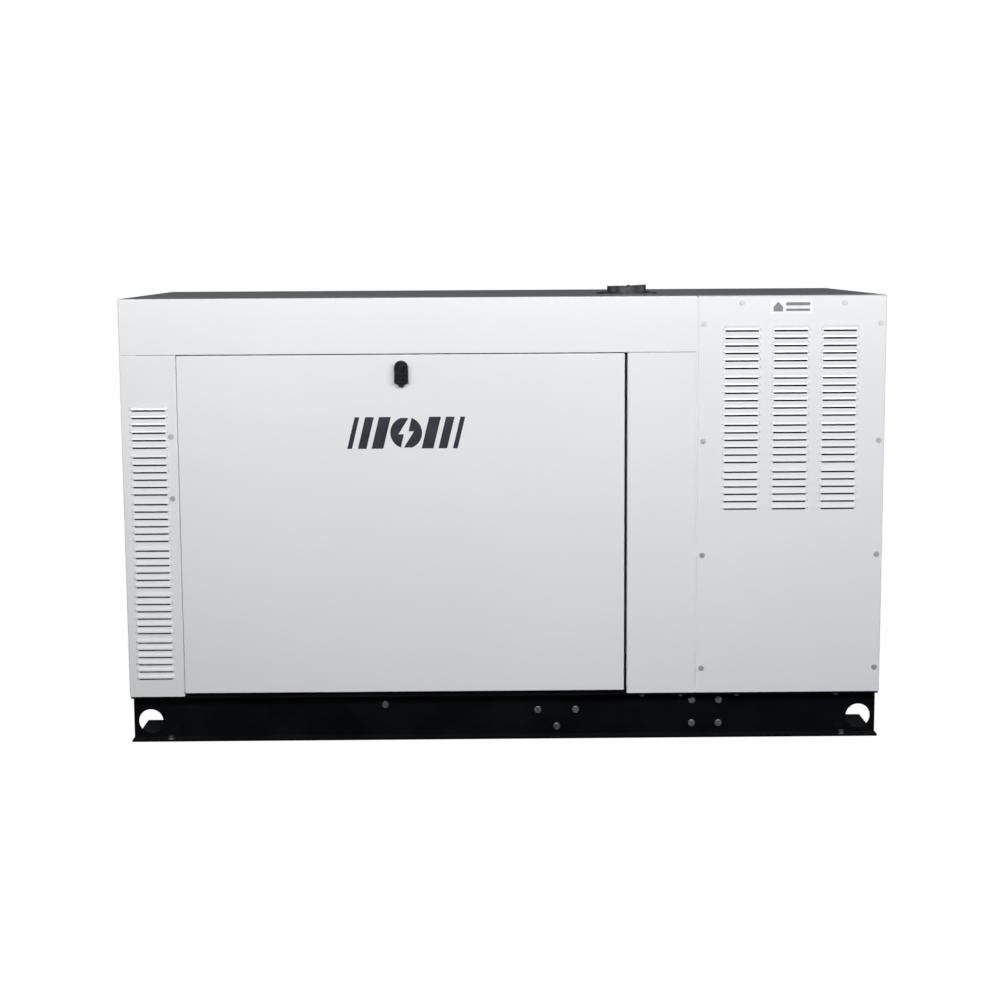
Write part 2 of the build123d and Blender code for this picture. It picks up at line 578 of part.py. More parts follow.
HOUSING_R = 190
HOUSING_FRONT = -380
HOUSING_BACK = -440
with BuildPart() as flywheel_housing:
    round_bar((HOUSING_BACK, 0, CRANK_Z), (HOUSING_FRONT, 0, CRANK_Z), HOUSING_R)
    round_bar((HOUSING_FRONT - 14, -175, 300), (HOUSING_FRONT, -175, 300), 55)
    round_bar((HOUSING_BACK - 1, 0, CRANK_Z), (HOUSING_FRONT - 10, 0, CRANK_Z), HOUSING_R - 12, Mode.SUBTRACT)
    round_bar((HOUSING_FRONT - 20, 0, CRANK_Z), (HOUSING_FRONT + 5, 0, CRANK_Z), 60, Mode.SUBTRACT)
    chamfer(flywheel_housing.faces().sort_by(Axis.X)[-1].outer_wire().edges(), 3)
finish(flywheel_housing, "flywheel_housing")

# ---------------------------------------------------------------- turning line: crank to rotor
with BuildPart() as crankshaft:
    round_bar((-392, 0, CRANK_Z), (BLOCK_FRONT, 0, CRANK_Z), SHAFT_R)
    round_bar((BLOCK_FRONT, 0, CRANK_Z), (BELT_X + BELT_WIDE + 14, 0, CRANK_Z), 18)
    for throw in (-340, -270, -200, -130, -60, 10):
        round_bar((throw, 0, CRANK_Z - 12), (throw + 22, 0, CRANK_Z - 12), 62)

with BuildPart() as flywheel:
    round_bar((-424, 0, CRANK_Z), (-396, 0, CRANK_Z), 160)
    round_bar((-396, 0, CRANK_Z), (-392, 0, CRANK_Z), 50)
    with Locations(Location((-410, 0, CRANK_Z), (0, 90, 0))):
        with PolarLocations(110, 8):
            Cylinder(14, 40, mode=Mode.SUBTRACT)


def grooved_pulley(centre_y, centre_z, radius, bore):
    """A belt pulley with side flanges, round the belt's plane."""
    far_x = BELT_X + BELT_WIDE
    round_bar((BELT_X - 4, centre_y, centre_z), (BELT_X, centre_y, centre_z), radius + 9)
    round_bar((BELT_X, centre_y, centre_z), (far_x, centre_y, centre_z), radius)
    round_bar((far_x, centre_y, centre_z), (far_x + 4, centre_y, centre_z), radius + 9)
    round_bar((BELT_X - 10, centre_y, centre_z), (BELT_X + 50, centre_y, centre_z), bore, Mode.SUBTRACT)


with BuildPart() as crank_pulley:
    grooved_pulley(0, CRANK_Z, PULLEY_CRANK_R, 18)

with BuildPart() as fan_pulley:
    grooved_pulley(0, FAN_Z, PULLEY_FAN_R, 12)

with BuildPart() as charger_pulley:
    grooved_pulley(CHARGER_Y, CHARGER_Z, PULLEY_CHARGER_R, 8)
    round_bar((-30, CHARGER_Y, CHARGER_Z), (BELT_X + BELT_WIDE + 10, CHARGER_Y, CHARGER_Z), 8)
finish(charger_pulley, "charger_pulley")

PULLEYS = [(0, CRANK_Z, PULLEY_CRANK_R), (0, FAN_Z, PULLEY_FAN_R), (CHARGER_Y, CHARGER_Z, PULLEY_CHARGER_R)]
BELT_THICK = 7
with BuildPart() as drive_belt:
    for grow, mode in ((CLEAR + BELT_THICK, Mode.ADD), (CLEAR, Mode.SUBTRACT)):
        with BuildSketch(Plane.YZ.offset(BELT_X + 1)) as loop:
            for centre_y, centre_z, radius in PULLEYS:
                with Locations((centre_y, centre_z)):
                    Circle(radius + grow)
            make_hull()
        extrude(loop.sketch, amount=BELT_WIDE - 2, mode=mode)
finish(drive_belt, "drive_belt")

# Seven twisted blades on a hub that the pump shaft carries.
FAN_X = 250
BLADES = 7
with BuildPart() as cooling_fan:
    round_bar((BLOCK_FRONT + 2, 0, FAN_Z), (FAN_X, 0, FAN_Z), 12)
    round_bar((FAN_X - 14, 0, FAN_Z), (FAN_X + 12, 0, FAN_Z), 55)
    for blade in range(BLADES):
        angle = radians(blade * 360 / BLADES)
        root = Plane(origin=(FAN_X, 0, FAN_Z), x_dir=(1, 0, 0), z_dir=(0, cos(angle), sin(angle)))
        with BuildSketch(root.offset(50)) as inner_edge:
            Rectangle(34, 3, rotation=48)
        with BuildSketch(root.offset(FAN_R - 8)) as outer_edge:
            Rectangle(70, 3, rotation=66)
        loft([inner_edge.sketch, outer_edge.sketch])

# ---------------------------------------------------------------- alternator
STATOR_BACK = -800
with BuildPart() as stator_frame:
    round_bar((STATOR_BACK, 0, CRANK_Z), (HOUSING_BACK, 0, CRANK_Z), 180)
    block((STATOR_BACK + 60, -200, 171), (-600, 200, 183))
    block((STATOR_BACK + 60, -120, 183), (-600, 120, 260))
    round_bar((STATOR_BACK - 1, 0, CRANK_Z), (HOUSING_BACK + 1, 0, CRANK_Z), 168, Mode.SUBTRACT)
    for window in range(5):
        window_x = -760 + window * 16
        block((window_x, -120, CRANK_Z + 120), (window_x + 8, 120, CRANK_Z + 200), Mode.SUBTRACT)

with BuildPart() as stator_core:
    round_bar((-700, 0, CRANK_Z), (-480, 0, CRANK_Z), 168)
    for winding in (-730, -480):
        round_bar((winding, 0, CRANK_Z), (winding + 30, 0, CRANK_Z), 150)
    round_bar((-735, 0, CRANK_Z), (-445, 0, CRANK_Z), 112, Mode.SUBTRACT)

ROTOR_SHAFT_R = 26
with BuildPart() as rotor:
    round_bar((-700, 0, CRANK_Z), (-480, 0, CRANK_Z), 110)
    for slot in range(4):
        angle = 45 + slot * 90
        across = Location((-590, 0, CRANK_Z), (angle, 0, 0))
        with Locations(across * Location((0, 0, 110))):
            Box(240, 44, 50, mode=Mode.SUBTRACT)
    round_bar((-858, 0, CRANK_Z), (-424, 0, CRANK_Z), ROTOR_SHAFT_R)
    round_bar((-430, 0, CRANK_Z), (-424, 0, CRANK_Z), 120)
finish(rotor, "rotor")

with BuildPart() as end_bell:
    round_bar((-822, 0, CRANK_Z), (STATOR_BACK, 0, CRANK_Z), 180)
    round_bar((-850, 0, CRANK_Z), (-822, 0, CRANK_Z), 70)
    round_bar((-816, 0, CRANK_Z), (STATOR_BACK + 1, 0, CRANK_Z), 166, Mode.SUBTRACT)
    round_bar((-870, 0, CRANK_Z), (-800, 0, CRANK_Z), ROTOR_SHAFT_R + RUN_GAP, Mode.SUBTRACT)
    with Locations(Location((-819, 0, CRANK_Z), (0, 90, 0))):
        with PolarLocations(120, 6):
            Cylinder(26, 30, mode=Mode.SUBTRACT)
finish(end_bell, "end_bell")

# ---------------------------------------------------------------- mounting
MOUNT_X = [135, -690]
MOUNT_Y = 185
with BuildPart() as isolators:
    for x in MOUNT_X:
        for side in (-1, 1):
            round_bar((x, side * MOUNT_Y, FLOOR_TOP), (x, side * MOUNT_Y, 171), 32)
finish(isolators, "isolators")

with BuildPart() as engine_mounts:
    for side in (-1, 1):
        block((95, min(side * 150, side * 220), 171), (175, max(side * 150, side * 220), 181))
        block((62, min(side * 75, side * 150), 262), (72, max(side * 75, side * 150), 298))
        block((62, min(side * 130, side * 180), 171), (72, max(side * 130, side * 180), 298))
        block((62, min(side * 130, side * 180), 171), (175, max(side * 130, side * 180), 181))
finish(engine_mounts, "engine_mounts")

# ---------------------------------------------------------------- air, fuel and exhaust
INTAKE_Y = -215
INTAKE_Z = 640
with BuildPart() as intake_manifold:
    round_bar((-335, INTAKE_Y, INTAKE_Z), (14, INTAKE_Y, INTAKE_Z), 32)
    for x in PORT_X:
        round_bar((x, -115, INTAKE_Z - 15), (x, INTAKE_Y, INTAKE_Z - 15), 20)
        block((x - 34, -121, INTAKE_Z - 40), (x + 34, -115, INTAKE_Z + 10))
finish(intake_manifold, "intake_manifold")

MIXER_X = 49
MIXER_LEFT = 14
MIXER_RIGHT = 82
with BuildPart() as gas_mixer:
    block((MIXER_LEFT, INTAKE_Y - 38, INTAKE_Z - 38), (MIXER_RIGHT, INTAKE_Y + 38, INTAKE_Z + 38))
    fillet(gas_mixer.edges().filter_by(Axis.X), 14)
    round_bar((MIXER_LEFT - 1, INTAKE_Y, INTAKE_Z), (MIXER_RIGHT + 1, INTAKE_Y, INTAKE_Z), 25, Mode.SUBTRACT)
    round_bar((MIXER_X, INTAKE_Y, INTAKE_Z - 45), (MIXER_X, INTAKE_Y, INTAKE_Z + 45), 4 + RUN_GAP,
              Mode.SUBTRACT)
finish(gas_mixer, "gas_mixer")

with BuildPart() as throttle_lever:
    round_bar((MIXER_X, INTAKE_Y, INTAKE_Z - 50), (MIXER_X, INTAKE_Y, INTAKE_Z + 40), 4)
    block((MIXER_X - 1, INTAKE_Y - 23, INTAKE_Z - 8), (MIXER_X + 1, INTAKE_Y + 23, INTAKE_Z + 8))
    block((MIXER_X - 6, INTAKE_Y - 50, INTAKE_Z - 44), (MIXER_X + 6, INTAKE_Y + 6, INTAKE_Z - 38.5))
finish(throttle_lever, "throttle_lever")

with BuildPart() as air_cleaner:
    round_bar((MIXER_RIGHT, INTAKE_Y, INTAKE_Z), (100, INTAKE_Y, INTAKE_Z), 35)
    round_bar((100, INTAKE_Y, INTAKE_Z), (218, INTAKE_Y, INTAKE_Z), 68)
    fillet(air_cleaner.edges().filter_by(GeomType.CIRCLE).group_by(Axis.X)[-1], 10)
    for band in (112, 180):
        round_bar((band, INTAKE_Y, INTAKE_Z), (band + 14, INTAKE_Y, INTAKE_Z), 71)
finish(air_cleaner, "air_cleaner")

EXHAUST_Y = 190
with BuildPart() as exhaust_manifold:
    round_bar((-335, EXHAUST_Y, PIPE_Z), (-10, EXHAUST_Y, PIPE_Z), 28)
    for x in PORT_X:
        round_bar((x, 115, PIPE_Z - 15), (x, EXHAUST_Y, PIPE_Z - 15), 18)
        block((x - 32, 115, PIPE_Z - 38), (x + 32, 122, PIPE_Z + 10))
    round_bar((-16, EXHAUST_Y, PIPE_Z), (-8, EXHAUST_Y, PIPE_Z), 40)

MUFFLER_Y = 250
with BuildPart() as exhaust_system:
    round_bar((-8, EXHAUST_Y, PIPE_Z), (0, EXHAUST_Y, PIPE_Z), 40)
    swept_tube([(-4, EXHAUST_Y, PIPE_Z), (70, EXHAUST_Y, PIPE_Z), (150, PIPE_Y - 4, PIPE_Z),
                (500, PIPE_Y - 4, PIPE_Z), (560, MUFFLER_Y, PIPE_Z), (640, MUFFLER_Y, PIPE_Z)], 50, 25)
    round_bar((620, MUFFLER_Y, PIPE_Z), (890, MUFFLER_Y, PIPE_Z), 100)
    fillet(exhaust_system.edges().filter_by(GeomType.CIRCLE).filter_by(lambda e: e.radius > 99), 12)
    round_bar((880, MUFFLER_Y, PIPE_Z), (955, MUFFLER_Y, PIPE_Z), 25)
    round_bar((632, MUFFLER_Y, PIPE_Z), (878, MUFFLER_Y, PIPE_Z), 90, Mode.SUBTRACT)
    round_bar((870, MUFFLER_Y, PIPE_Z), (960, MUFFLER_Y, PIPE_Z), 22.5, Mode.SUBTRACT)

with BuildPart() as oil_filter:
    round_bar((-130, -127, 400), (-130, -215, 400), 40)
    fillet(oil_filter.edges().filter_by(GeomType.CIRCLE).group_by(Axis.Y)[0], 8)
finish(oil_filter, "oil_filter")

with BuildPart() as starter_motor:
    round_bar((HOUSING_FRONT, -177, 300), (HOUSING_FRONT + 8, -177, 300), 48)
    round_bar((HOUSING_FRONT + 8, -177, 300), (-225, -177, 300), 42)
    fillet(starter_motor.edges().filter_by(GeomType.CIRCLE).group_by(Axis.X)[-1], 6)
    round_bar((HOUSING_FRONT + 8, -177, 358), (-275, -177, 358), 22)
finish(starter_motor, "starter_motor")

with BuildPart() as charging_alternator:
    round_bar((-55, CHARGER_Y, CHARGER_Z), (66, CHARGER_Y, CHARGER_Z), 60)
    fillet(charging_alternator.edges().filter_by(GeomType.CIRCLE), 8)
    round_bar((-32, CHARGER_Y, CHARGER_Z), (70, CHARGER_Y, CHARGER_Z), 8 + RUN_GAP, Mode.SUBTRACT)
    block((-20, CHARGER_Y + 30, CHARGER_Z + 5), (20, -127.3, CHARGER_Z + 30))
    round_bar((-32, CHARGER_Y, CHARGER_Z), (70, CHARGER_Y, CHARGER_Z), 8 + RUN_GAP, Mode.SUBTRACT)
finish(charging_alternator, "charging_alternator")

REG_X = GAS_X
REG_Y = 320
REG_Z = 420
with BuildPart() as gas_regulator:
    round_bar((REG_X, REG_Y - 30, REG_Z), (REG_X, REG_Y + 30, REG_Z), 65)
    fillet(gas_regulator.edges().filter_by(GeomType.CIRCLE), 8)
    round_bar((REG_X, REG_Y - 3, REG_Z), (REG_X, REG_Y + 3, REG_Z), 78)
    round_bar((REG_X, REG_Y, REG_Z - 90), (REG_X, REG_Y, REG_Z), 20)
    round_bar((REG_X, REG_Y, REG_Z), (REG_X, REG_Y, REG_Z + 85), 16)

GAS_R = 16.7
with BuildPart() as gas_pipe:
    swept_tube([(GAS_X, 452, GAS_Z), (GAS_X, REG_Y, GAS_Z), (GAS_X, REG_Y, REG_Z - 90)], 35, GAS_R, 13)
    with BuildSketch(Plane.XZ.offset(-FACE - 2)) as wall_nut:
        with Locations((GAS_X, GAS_Z)):
            RegularPolygon(26, 6, major_radius=False)
            Circle(GAS_R, mode=Mode.SUBTRACT)
    extrude(wall_nut.sketch, amount=-8)

with BuildPart() as fuel_hose:
    swept_tube([(REG_X, REG_Y, REG_Z + 85), (REG_X, REG_Y, 830), (REG_X, INTAKE_Y + 60, 830),
                (MIXER_X, INTAKE_Y, 780), (MIXER_X, INTAKE_Y, INTAKE_Z + 40.5)], [60, 60, 25], 13)

# ---------------------------------------------------------------- radiator
TANK_TOP = 900
with BuildPart() as radiator_core:
    block((322, -262, 250), (358, 262, 830))

with BuildPart() as radiator_tanks:
    block((308, -275, 830), (372, 275, TANK_TOP))
    block((308, -275, 192), (372, 275, 250))
    fillet(radiator_tanks.edges().filter_by(Axis.Y), 10)
    for side in (-1, 1):
        block((318, min(side * 262.3, side * 275), 240), (362, max(side * 262.3, side * 275), 840))
    round_bar((CAP_X, CAP_Y, TANK_TOP - 5), (CAP_X, CAP_Y, 1060), 22)
    round_bar((CAP_X, CAP_Y, 1052), (CAP_X, CAP_Y, 1060), 27)
    round_bar((CAP_X, CAP_Y, TANK_TOP + 5), (CAP_X, CAP_Y, 1061), 18, Mode.SUBTRACT)
    round_bar((280, 150, 862), (310, 150, 862), 19)
    round_bar((280, 222, 220), (310, 222, 220), 19)

with BuildPart() as radiator_cap:
    round_bar((CAP_X, CAP_Y, 1050), (CAP_X, CAP_Y, 1072), 33)
    fillet(radiator_cap.faces().sort_by(Axis.Z)[-1].edges(), 4)
    block((CAP_X - 38, CAP_Y - 8, 1060 + CLEAR), (CAP_X + 38, CAP_Y + 8, 1068))
    round_bar((CAP_X, CAP_Y, 1049), (CAP_X, CAP_Y, 1060 + CLEAR), 27 + CLEAR, Mode.SUBTRACT)
finish(radiator_cap, "radiator_cap")

with BuildPart() as fan_shroud:
    block((268, -276, 252), (306, 276, 828))
    block((271, -273, 255), (307, 273, 825), Mode.SUBTRACT)
    round_bar((252, 0, FAN_Z), (271, 0, FAN_Z), 214)
    round_bar((250, 0, FAN_Z), (275, 0, FAN_Z), 210, Mode.SUBTRACT)
finish(fan_shroud, "fan_shroud")

with BuildPart() as radiator_hoses:
    swept_tube([(BLOCK_FRONT + 12.5, 85, 645), (130, 85, 645), (200, 150, 862), (280, 150, 862)],
               [40, 40], 19)
    round_bar((BLOCK_FRONT - 4.7, 85, 645), (BLOCK_FRONT + 12.5, 85, 645), 24)
    swept_tube([(0, 127.5, 470), (0, 190, 470), (150, 222, 220), (280, 222, 220)], [35, 50], 19)

# ---------------------------------------------------------------- electrical
BAT_LOW = (-200, -358, 126)
BAT_HIGH = (8, -188, 322)
POLE_Y = -333
with BuildPart() as battery:
    block(BAT_LOW, BAT_HIGH)
    fillet(battery.edges().filter_by(Axis.Z), 6)
    block((BAT_LOW[0] + 4, BAT_LOW[1] + 4, 300), (BAT_HIGH[0] - 4, BAT_HIGH[1] - 4, 328))
    for x in (BAT_LOW[0] + 30, BAT_HIGH[0] - 30):
        round_bar((x, POLE_Y, 326), (x, POLE_Y, 345), 9)
finish(battery, "battery")

with BuildPart() as battery_tray:
    block((BAT_LOW[0] - 8, BAT_LOW[1] - 8, FLOOR_TOP), (BAT_HIGH[0] + 8, BAT_HIGH[1] + 8, 150))
    block((BAT_LOW[0] - 3, BAT_LOW[1] - 3, BAT_LOW[2]), (BAT_HIGH[0] + 3, BAT_HIGH[1] + 3, 160),
          Mode.SUBTRACT)

BOX_LOW = (-800, -350, 620)
BOX_HIGH = (-500, -215, 960)
BOX_WALL = 8
with BuildPart() as control_box:
    block(BOX_LOW, BOX_HIGH)
    fillet(control_box.edges().filter_by(Axis.Y), 5)
    block([low + BOX_WALL for low in BOX_LOW], [high - BOX_WALL for high in BOX_HIGH], Mode.SUBTRACT)
    discs(Plane.XY.offset(BOX_LOW[2] - 5), [(-650, -290)], 30, 20, Mode.SUBTRACT)
    for x in (BOX_LOW[0] + 5, BOX_HIGH[0] - 35):
        block((x, -250, FLOOR_TOP), (x + 30, -220, BOX_LOW[2] + 5))
        block((x, -270, FLOOR_TOP), (x + 30, -220, FLOOR_TOP + 6))
finish(control_box, "control_box")

with BuildPart() as battery_leads:
    swept_tube([(BAT_LOW[0] + 30, POLE_Y, 345), (BAT_LOW[0] + 30, POLE_Y, 380), (-225, -300, 400),
                (-260, -240, 410), (-300, -177, 410), (-300, -177, 380)], [12, 18, 25, 10], 6)
    swept_tube([(BAT_HIGH[0] - 30, POLE_Y, 345), (BAT_HIGH[0] - 30, POLE_Y, 375), (40, POLE_Y, 380),
                (40, POLE_Y, 140), (40, -300, 124)], [12, 12, 12], 6)
finish(battery_leads, "battery_leads")

with BuildPart() as controller:
    block((-785, -358, 770), (-625, -350, 940))
    fillet(controller.edges().filter_by(Axis.Y), 8)
    block((-765, -360, 860), (-645, -352, 925), Mode.SUBTRACT)
    for key in range(4):
        block((-765 + key * 32, -359.2, 800), (-743 + key * 32, -357, 816))

ROCKER_X = -580
ROCKER_Z = 890
with BuildPart() as mode_switch:
    block((ROCKER_X - 22, -356, ROCKER_Z - 30), (ROCKER_X + 22, -350, ROCKER_Z + 30))
    block((ROCKER_X - 13, -357, ROCKER_Z - 21), (ROCKER_X + 13, -352, ROCKER_Z + 21), Mode.SUBTRACT)

with BuildPart() as mode_rocker:
    with BuildSketch(Plane.YZ.offset(ROCKER_X - 12)) as rocker_side:
        with BuildLine():
            Polyline((-355, ROCKER_Z - 16), (-360.5, ROCKER_Z - 17), (-357.6, ROCKER_Z),
                     (-360.5, ROCKER_Z + 17), (-355, ROCKER_Z + 16), close=True)
        make_face()
    extrude(rocker_side.sketch, amount=24)
    round_bar((ROCKER_X - 12, -354, ROCKER_Z), (ROCKER_X + 12, -354, ROCKER_Z), 1.6)
finish(mode_rocker, "mode_rocker")

BREAKER_X = -580
BREAKER_Z = 730
with BuildPart() as main_breaker:
    block((BREAKER_X - 38, -375, BREAKER_Z - 70), (BREAKER_X + 38, -350, BREAKER_Z + 70))
    fillet(main_breaker.edges().filter_by(Axis.Y), 3)
    block((BREAKER_X - 12, -376, BREAKER_Z - 26), (BREAKER_X + 12, -355, BREAKER_Z + 26), Mode.SUBTRACT)
finish(main_breaker, "main_breaker")

with BuildPart() as breaker_toggle:
    round_bar((BREAKER_X - 11, -364, BREAKER_Z), (BREAKER_X + 11, -364, BREAKER_Z), 7)
    block((BREAKER_X - 8, -386, BREAKER_Z - 5), (BREAKER_X + 8, -364, BREAKER_Z + 5))
finish(breaker_toggle, "breaker_toggle")

# ---------------------------------------------------------------- nodes of several pieces
finish_group([cross_members, floor_sheet, battery_tray], "base_frame")
finish_group([corner_posts, frame_head, frame_sill, left_jamb, right_jamb, partition], "inner_frame")
finish_group([engine_block, timing_cover], "engine_block")
finish_group([crankshaft, flywheel, crank_pulley], "crank_line")
finish_group([cooling_fan, fan_pulley], "cooling_fan")
finish_group([stator_frame, stator_core], "stator")
finish_group([gas_regulator, gas_pipe], "gas_line")
finish_group([radiator_core, radiator_tanks], "radiator")
finish_group([exhaust_manifold, exhaust_system], "exhaust_system")
finish_group([radiator_hoses, fuel_hose], "hoses")
finish_group([controller, mode_switch], "controller")

print("pieces written:", len(os.listdir("parts")))
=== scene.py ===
import json
from functools import partial
from math import cos, pi, radians, sin

import bmesh
import bpy
from mathutils import Matrix, Vector


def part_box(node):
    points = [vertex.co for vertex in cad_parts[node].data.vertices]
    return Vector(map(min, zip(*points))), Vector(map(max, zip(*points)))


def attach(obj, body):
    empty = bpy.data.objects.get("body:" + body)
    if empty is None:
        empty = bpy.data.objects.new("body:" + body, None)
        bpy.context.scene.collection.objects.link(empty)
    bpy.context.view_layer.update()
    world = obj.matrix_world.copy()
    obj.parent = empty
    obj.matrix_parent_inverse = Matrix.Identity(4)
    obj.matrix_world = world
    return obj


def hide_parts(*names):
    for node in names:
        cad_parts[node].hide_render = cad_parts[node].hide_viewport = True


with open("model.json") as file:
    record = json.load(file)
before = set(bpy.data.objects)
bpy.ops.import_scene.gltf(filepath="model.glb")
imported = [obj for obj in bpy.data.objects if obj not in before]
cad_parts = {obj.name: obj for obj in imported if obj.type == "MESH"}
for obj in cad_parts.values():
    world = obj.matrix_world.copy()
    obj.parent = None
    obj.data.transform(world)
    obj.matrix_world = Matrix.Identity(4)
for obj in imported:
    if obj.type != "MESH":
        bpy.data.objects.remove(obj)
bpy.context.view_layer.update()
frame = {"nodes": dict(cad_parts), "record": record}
MM = 0.001
nodes = frame["nodes"]
scene = bpy.context.scene
scene.view_settings.view_transform = "Standard"

# ------------------------------------------------------------------ camera
CAMERA_AT = Vector((-59.3, -5225.6, 1264.8)) * MM
CAMERA_DOWN, CAMERA_TURN, CAMERA_ROLL = radians(7.537), radians(-0.5815), radians(-0.33)
CAMERA_LENS, CAMERA_SENSOR = 67.93, 36.0

camera_data = bpy.data.cameras.new("camera")
camera_data.lens = CAMERA_LENS
camera_data.sensor_width = CAMERA_SENSOR
camera = bpy.data.objects.new("camera", camera_data)
scene.collection.objects.link(camera)
camera.matrix_world = (
    Matrix.Translation(CAMERA_AT)
    @ Matrix.Rotation(CAMERA_TURN, 4, "Z")
    @ Matrix.Rotation(pi / 2 - CAMERA_DOWN, 4, "X")
    @ Matrix.Rotation(CAMERA_ROLL, 4, "Z")
)
scene.camera = camera

# ------------------------------------------------------------------ where things are
roof_low, roof_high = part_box("roof_cover")
right_low, right_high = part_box("right_front_panel")
FRONT_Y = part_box("front_door")[0].y
BACK_Y = roof_high.y
LEFT_X, RIGHT_X = roof_low.x, roof_high.x

# ------------------------------------------------------------------ materials
CLOUD_RANGE = (0.3, 0.7)  # the part of the slow noise that the colours and the gloss span
CLOUD_DETAIL, GRAIN_DETAIL = 6.0, 3.0
GRAIN_HEIGHT = 0.0004
DUST_COLOR = (0.45, 0.43, 0.40, 1)
DUST_FROM = 0.6  # how far up a face has to look for dust to lie on it, 1 being level


def link(tree, source, target):
    tree.links.new(source, target)


def noise(tree, scale, detail):
    """A noise that stays with its piece."""
    place = tree.nodes.new("ShaderNodeTexCoord")
    texture = tree.nodes.new("ShaderNodeTexNoise")
    texture.inputs["Scale"].default_value = scale
    texture.inputs["Detail"].default_value = detail
    link(tree, place.outputs["Object"], texture.inputs["Vector"])
    return texture.outputs["Fac"]


def map_range(tree, value, start, end):
    """A value stretched from one range to another."""
    stretch = tree.nodes.new("ShaderNodeMapRange")
    stretch.inputs["From Min"].default_value, stretch.inputs["From Max"].default_value = start
    stretch.inputs["To Min"].default_value, stretch.inputs["To Max"].default_value = end
    link(tree, value, stretch.inputs["Value"])
    return stretch.outputs["Result"]


def dusted(tree, color, cloud, dust):
    """A colour with patchy dust on the faces that look up."""
    geometry = tree.nodes.new("ShaderNodeNewGeometry")
    split = tree.nodes.new("ShaderNodeSeparateXYZ")
    link(tree, geometry.outputs["Normal"], split.inputs["Vector"])
    patchy = tree.nodes.new("ShaderNodeMath")
    patchy.operation = "MULTIPLY"
    link(tree, map_range(tree, split.outputs["Z"], (DUST_FROM, 1.0), (0.0, dust)), patchy.inputs[0])
    link(tree, cloud, patchy.inputs[1])
    mix = tree.nodes.new("ShaderNodeMix")
    mix.data_type = "RGBA"
    link(tree, patchy.outputs["Value"], mix.inputs["Factor"])
    link(tree, color, mix.inputs["A"])
    mix.inputs["B"].default_value = DUST_COLOR
    return mix.outputs["Result"]


def grained(tree, strength, scale):
    """The normal of a surface with a fine grain."""
    bump = tree.nodes.new("ShaderNodeBump")
    bump.inputs["Strength"].default_value = strength
    bump.inputs["Distance"].default_value = GRAIN_HEIGHT
    link(tree, noise(tree, scale, GRAIN_DETAIL), bump.inputs["Height"])
    return bump.outputs["Normal"]


def surface(name, dark, light, rough, scale, grain=None, metallic=0.0, specular=0.5,
            coat=0.0, coat_rough=0.05, dust=0.0):
    """A procedural surface: slow colour and gloss changes, grain (strength, scale) and dust."""
    material = bpy.data.materials.new(name)
    material.use_nodes = True
    tree = material.node_tree
    shader = tree.nodes["Principled BSDF"]
    shader.inputs["Metallic"].default_value = metallic
    shader.inputs["Specular IOR Level"].default_value = specular
    shader.inputs["Coat Weight"].default_value = coat
    shader.inputs["Coat Roughness"].default_value = coat_rough
    cloud = noise(tree, scale, CLOUD_DETAIL)
    ramp = tree.nodes.new("ShaderNodeValToRGB")
    for i, shade in enumerate((dark, light)):
        ramp.color_ramp.elements[i].position = CLOUD_RANGE[i]
        ramp.color_ramp.elements[i].color = (*shade, 1)
    link(tree, cloud, ramp.inputs["Fac"])
    color = ramp.outputs["Color"]
    if dust:
        color = dusted(tree, color, cloud, dust)
    link(tree, color, shader.inputs["Base Color"])
    link(tree, map_range(tree, cloud, CLOUD_RANGE, rough), shader.inputs["Roughness"])
    if grain:
        link(tree, grained(tree, *grain), shader.inputs["Normal"])
    return material


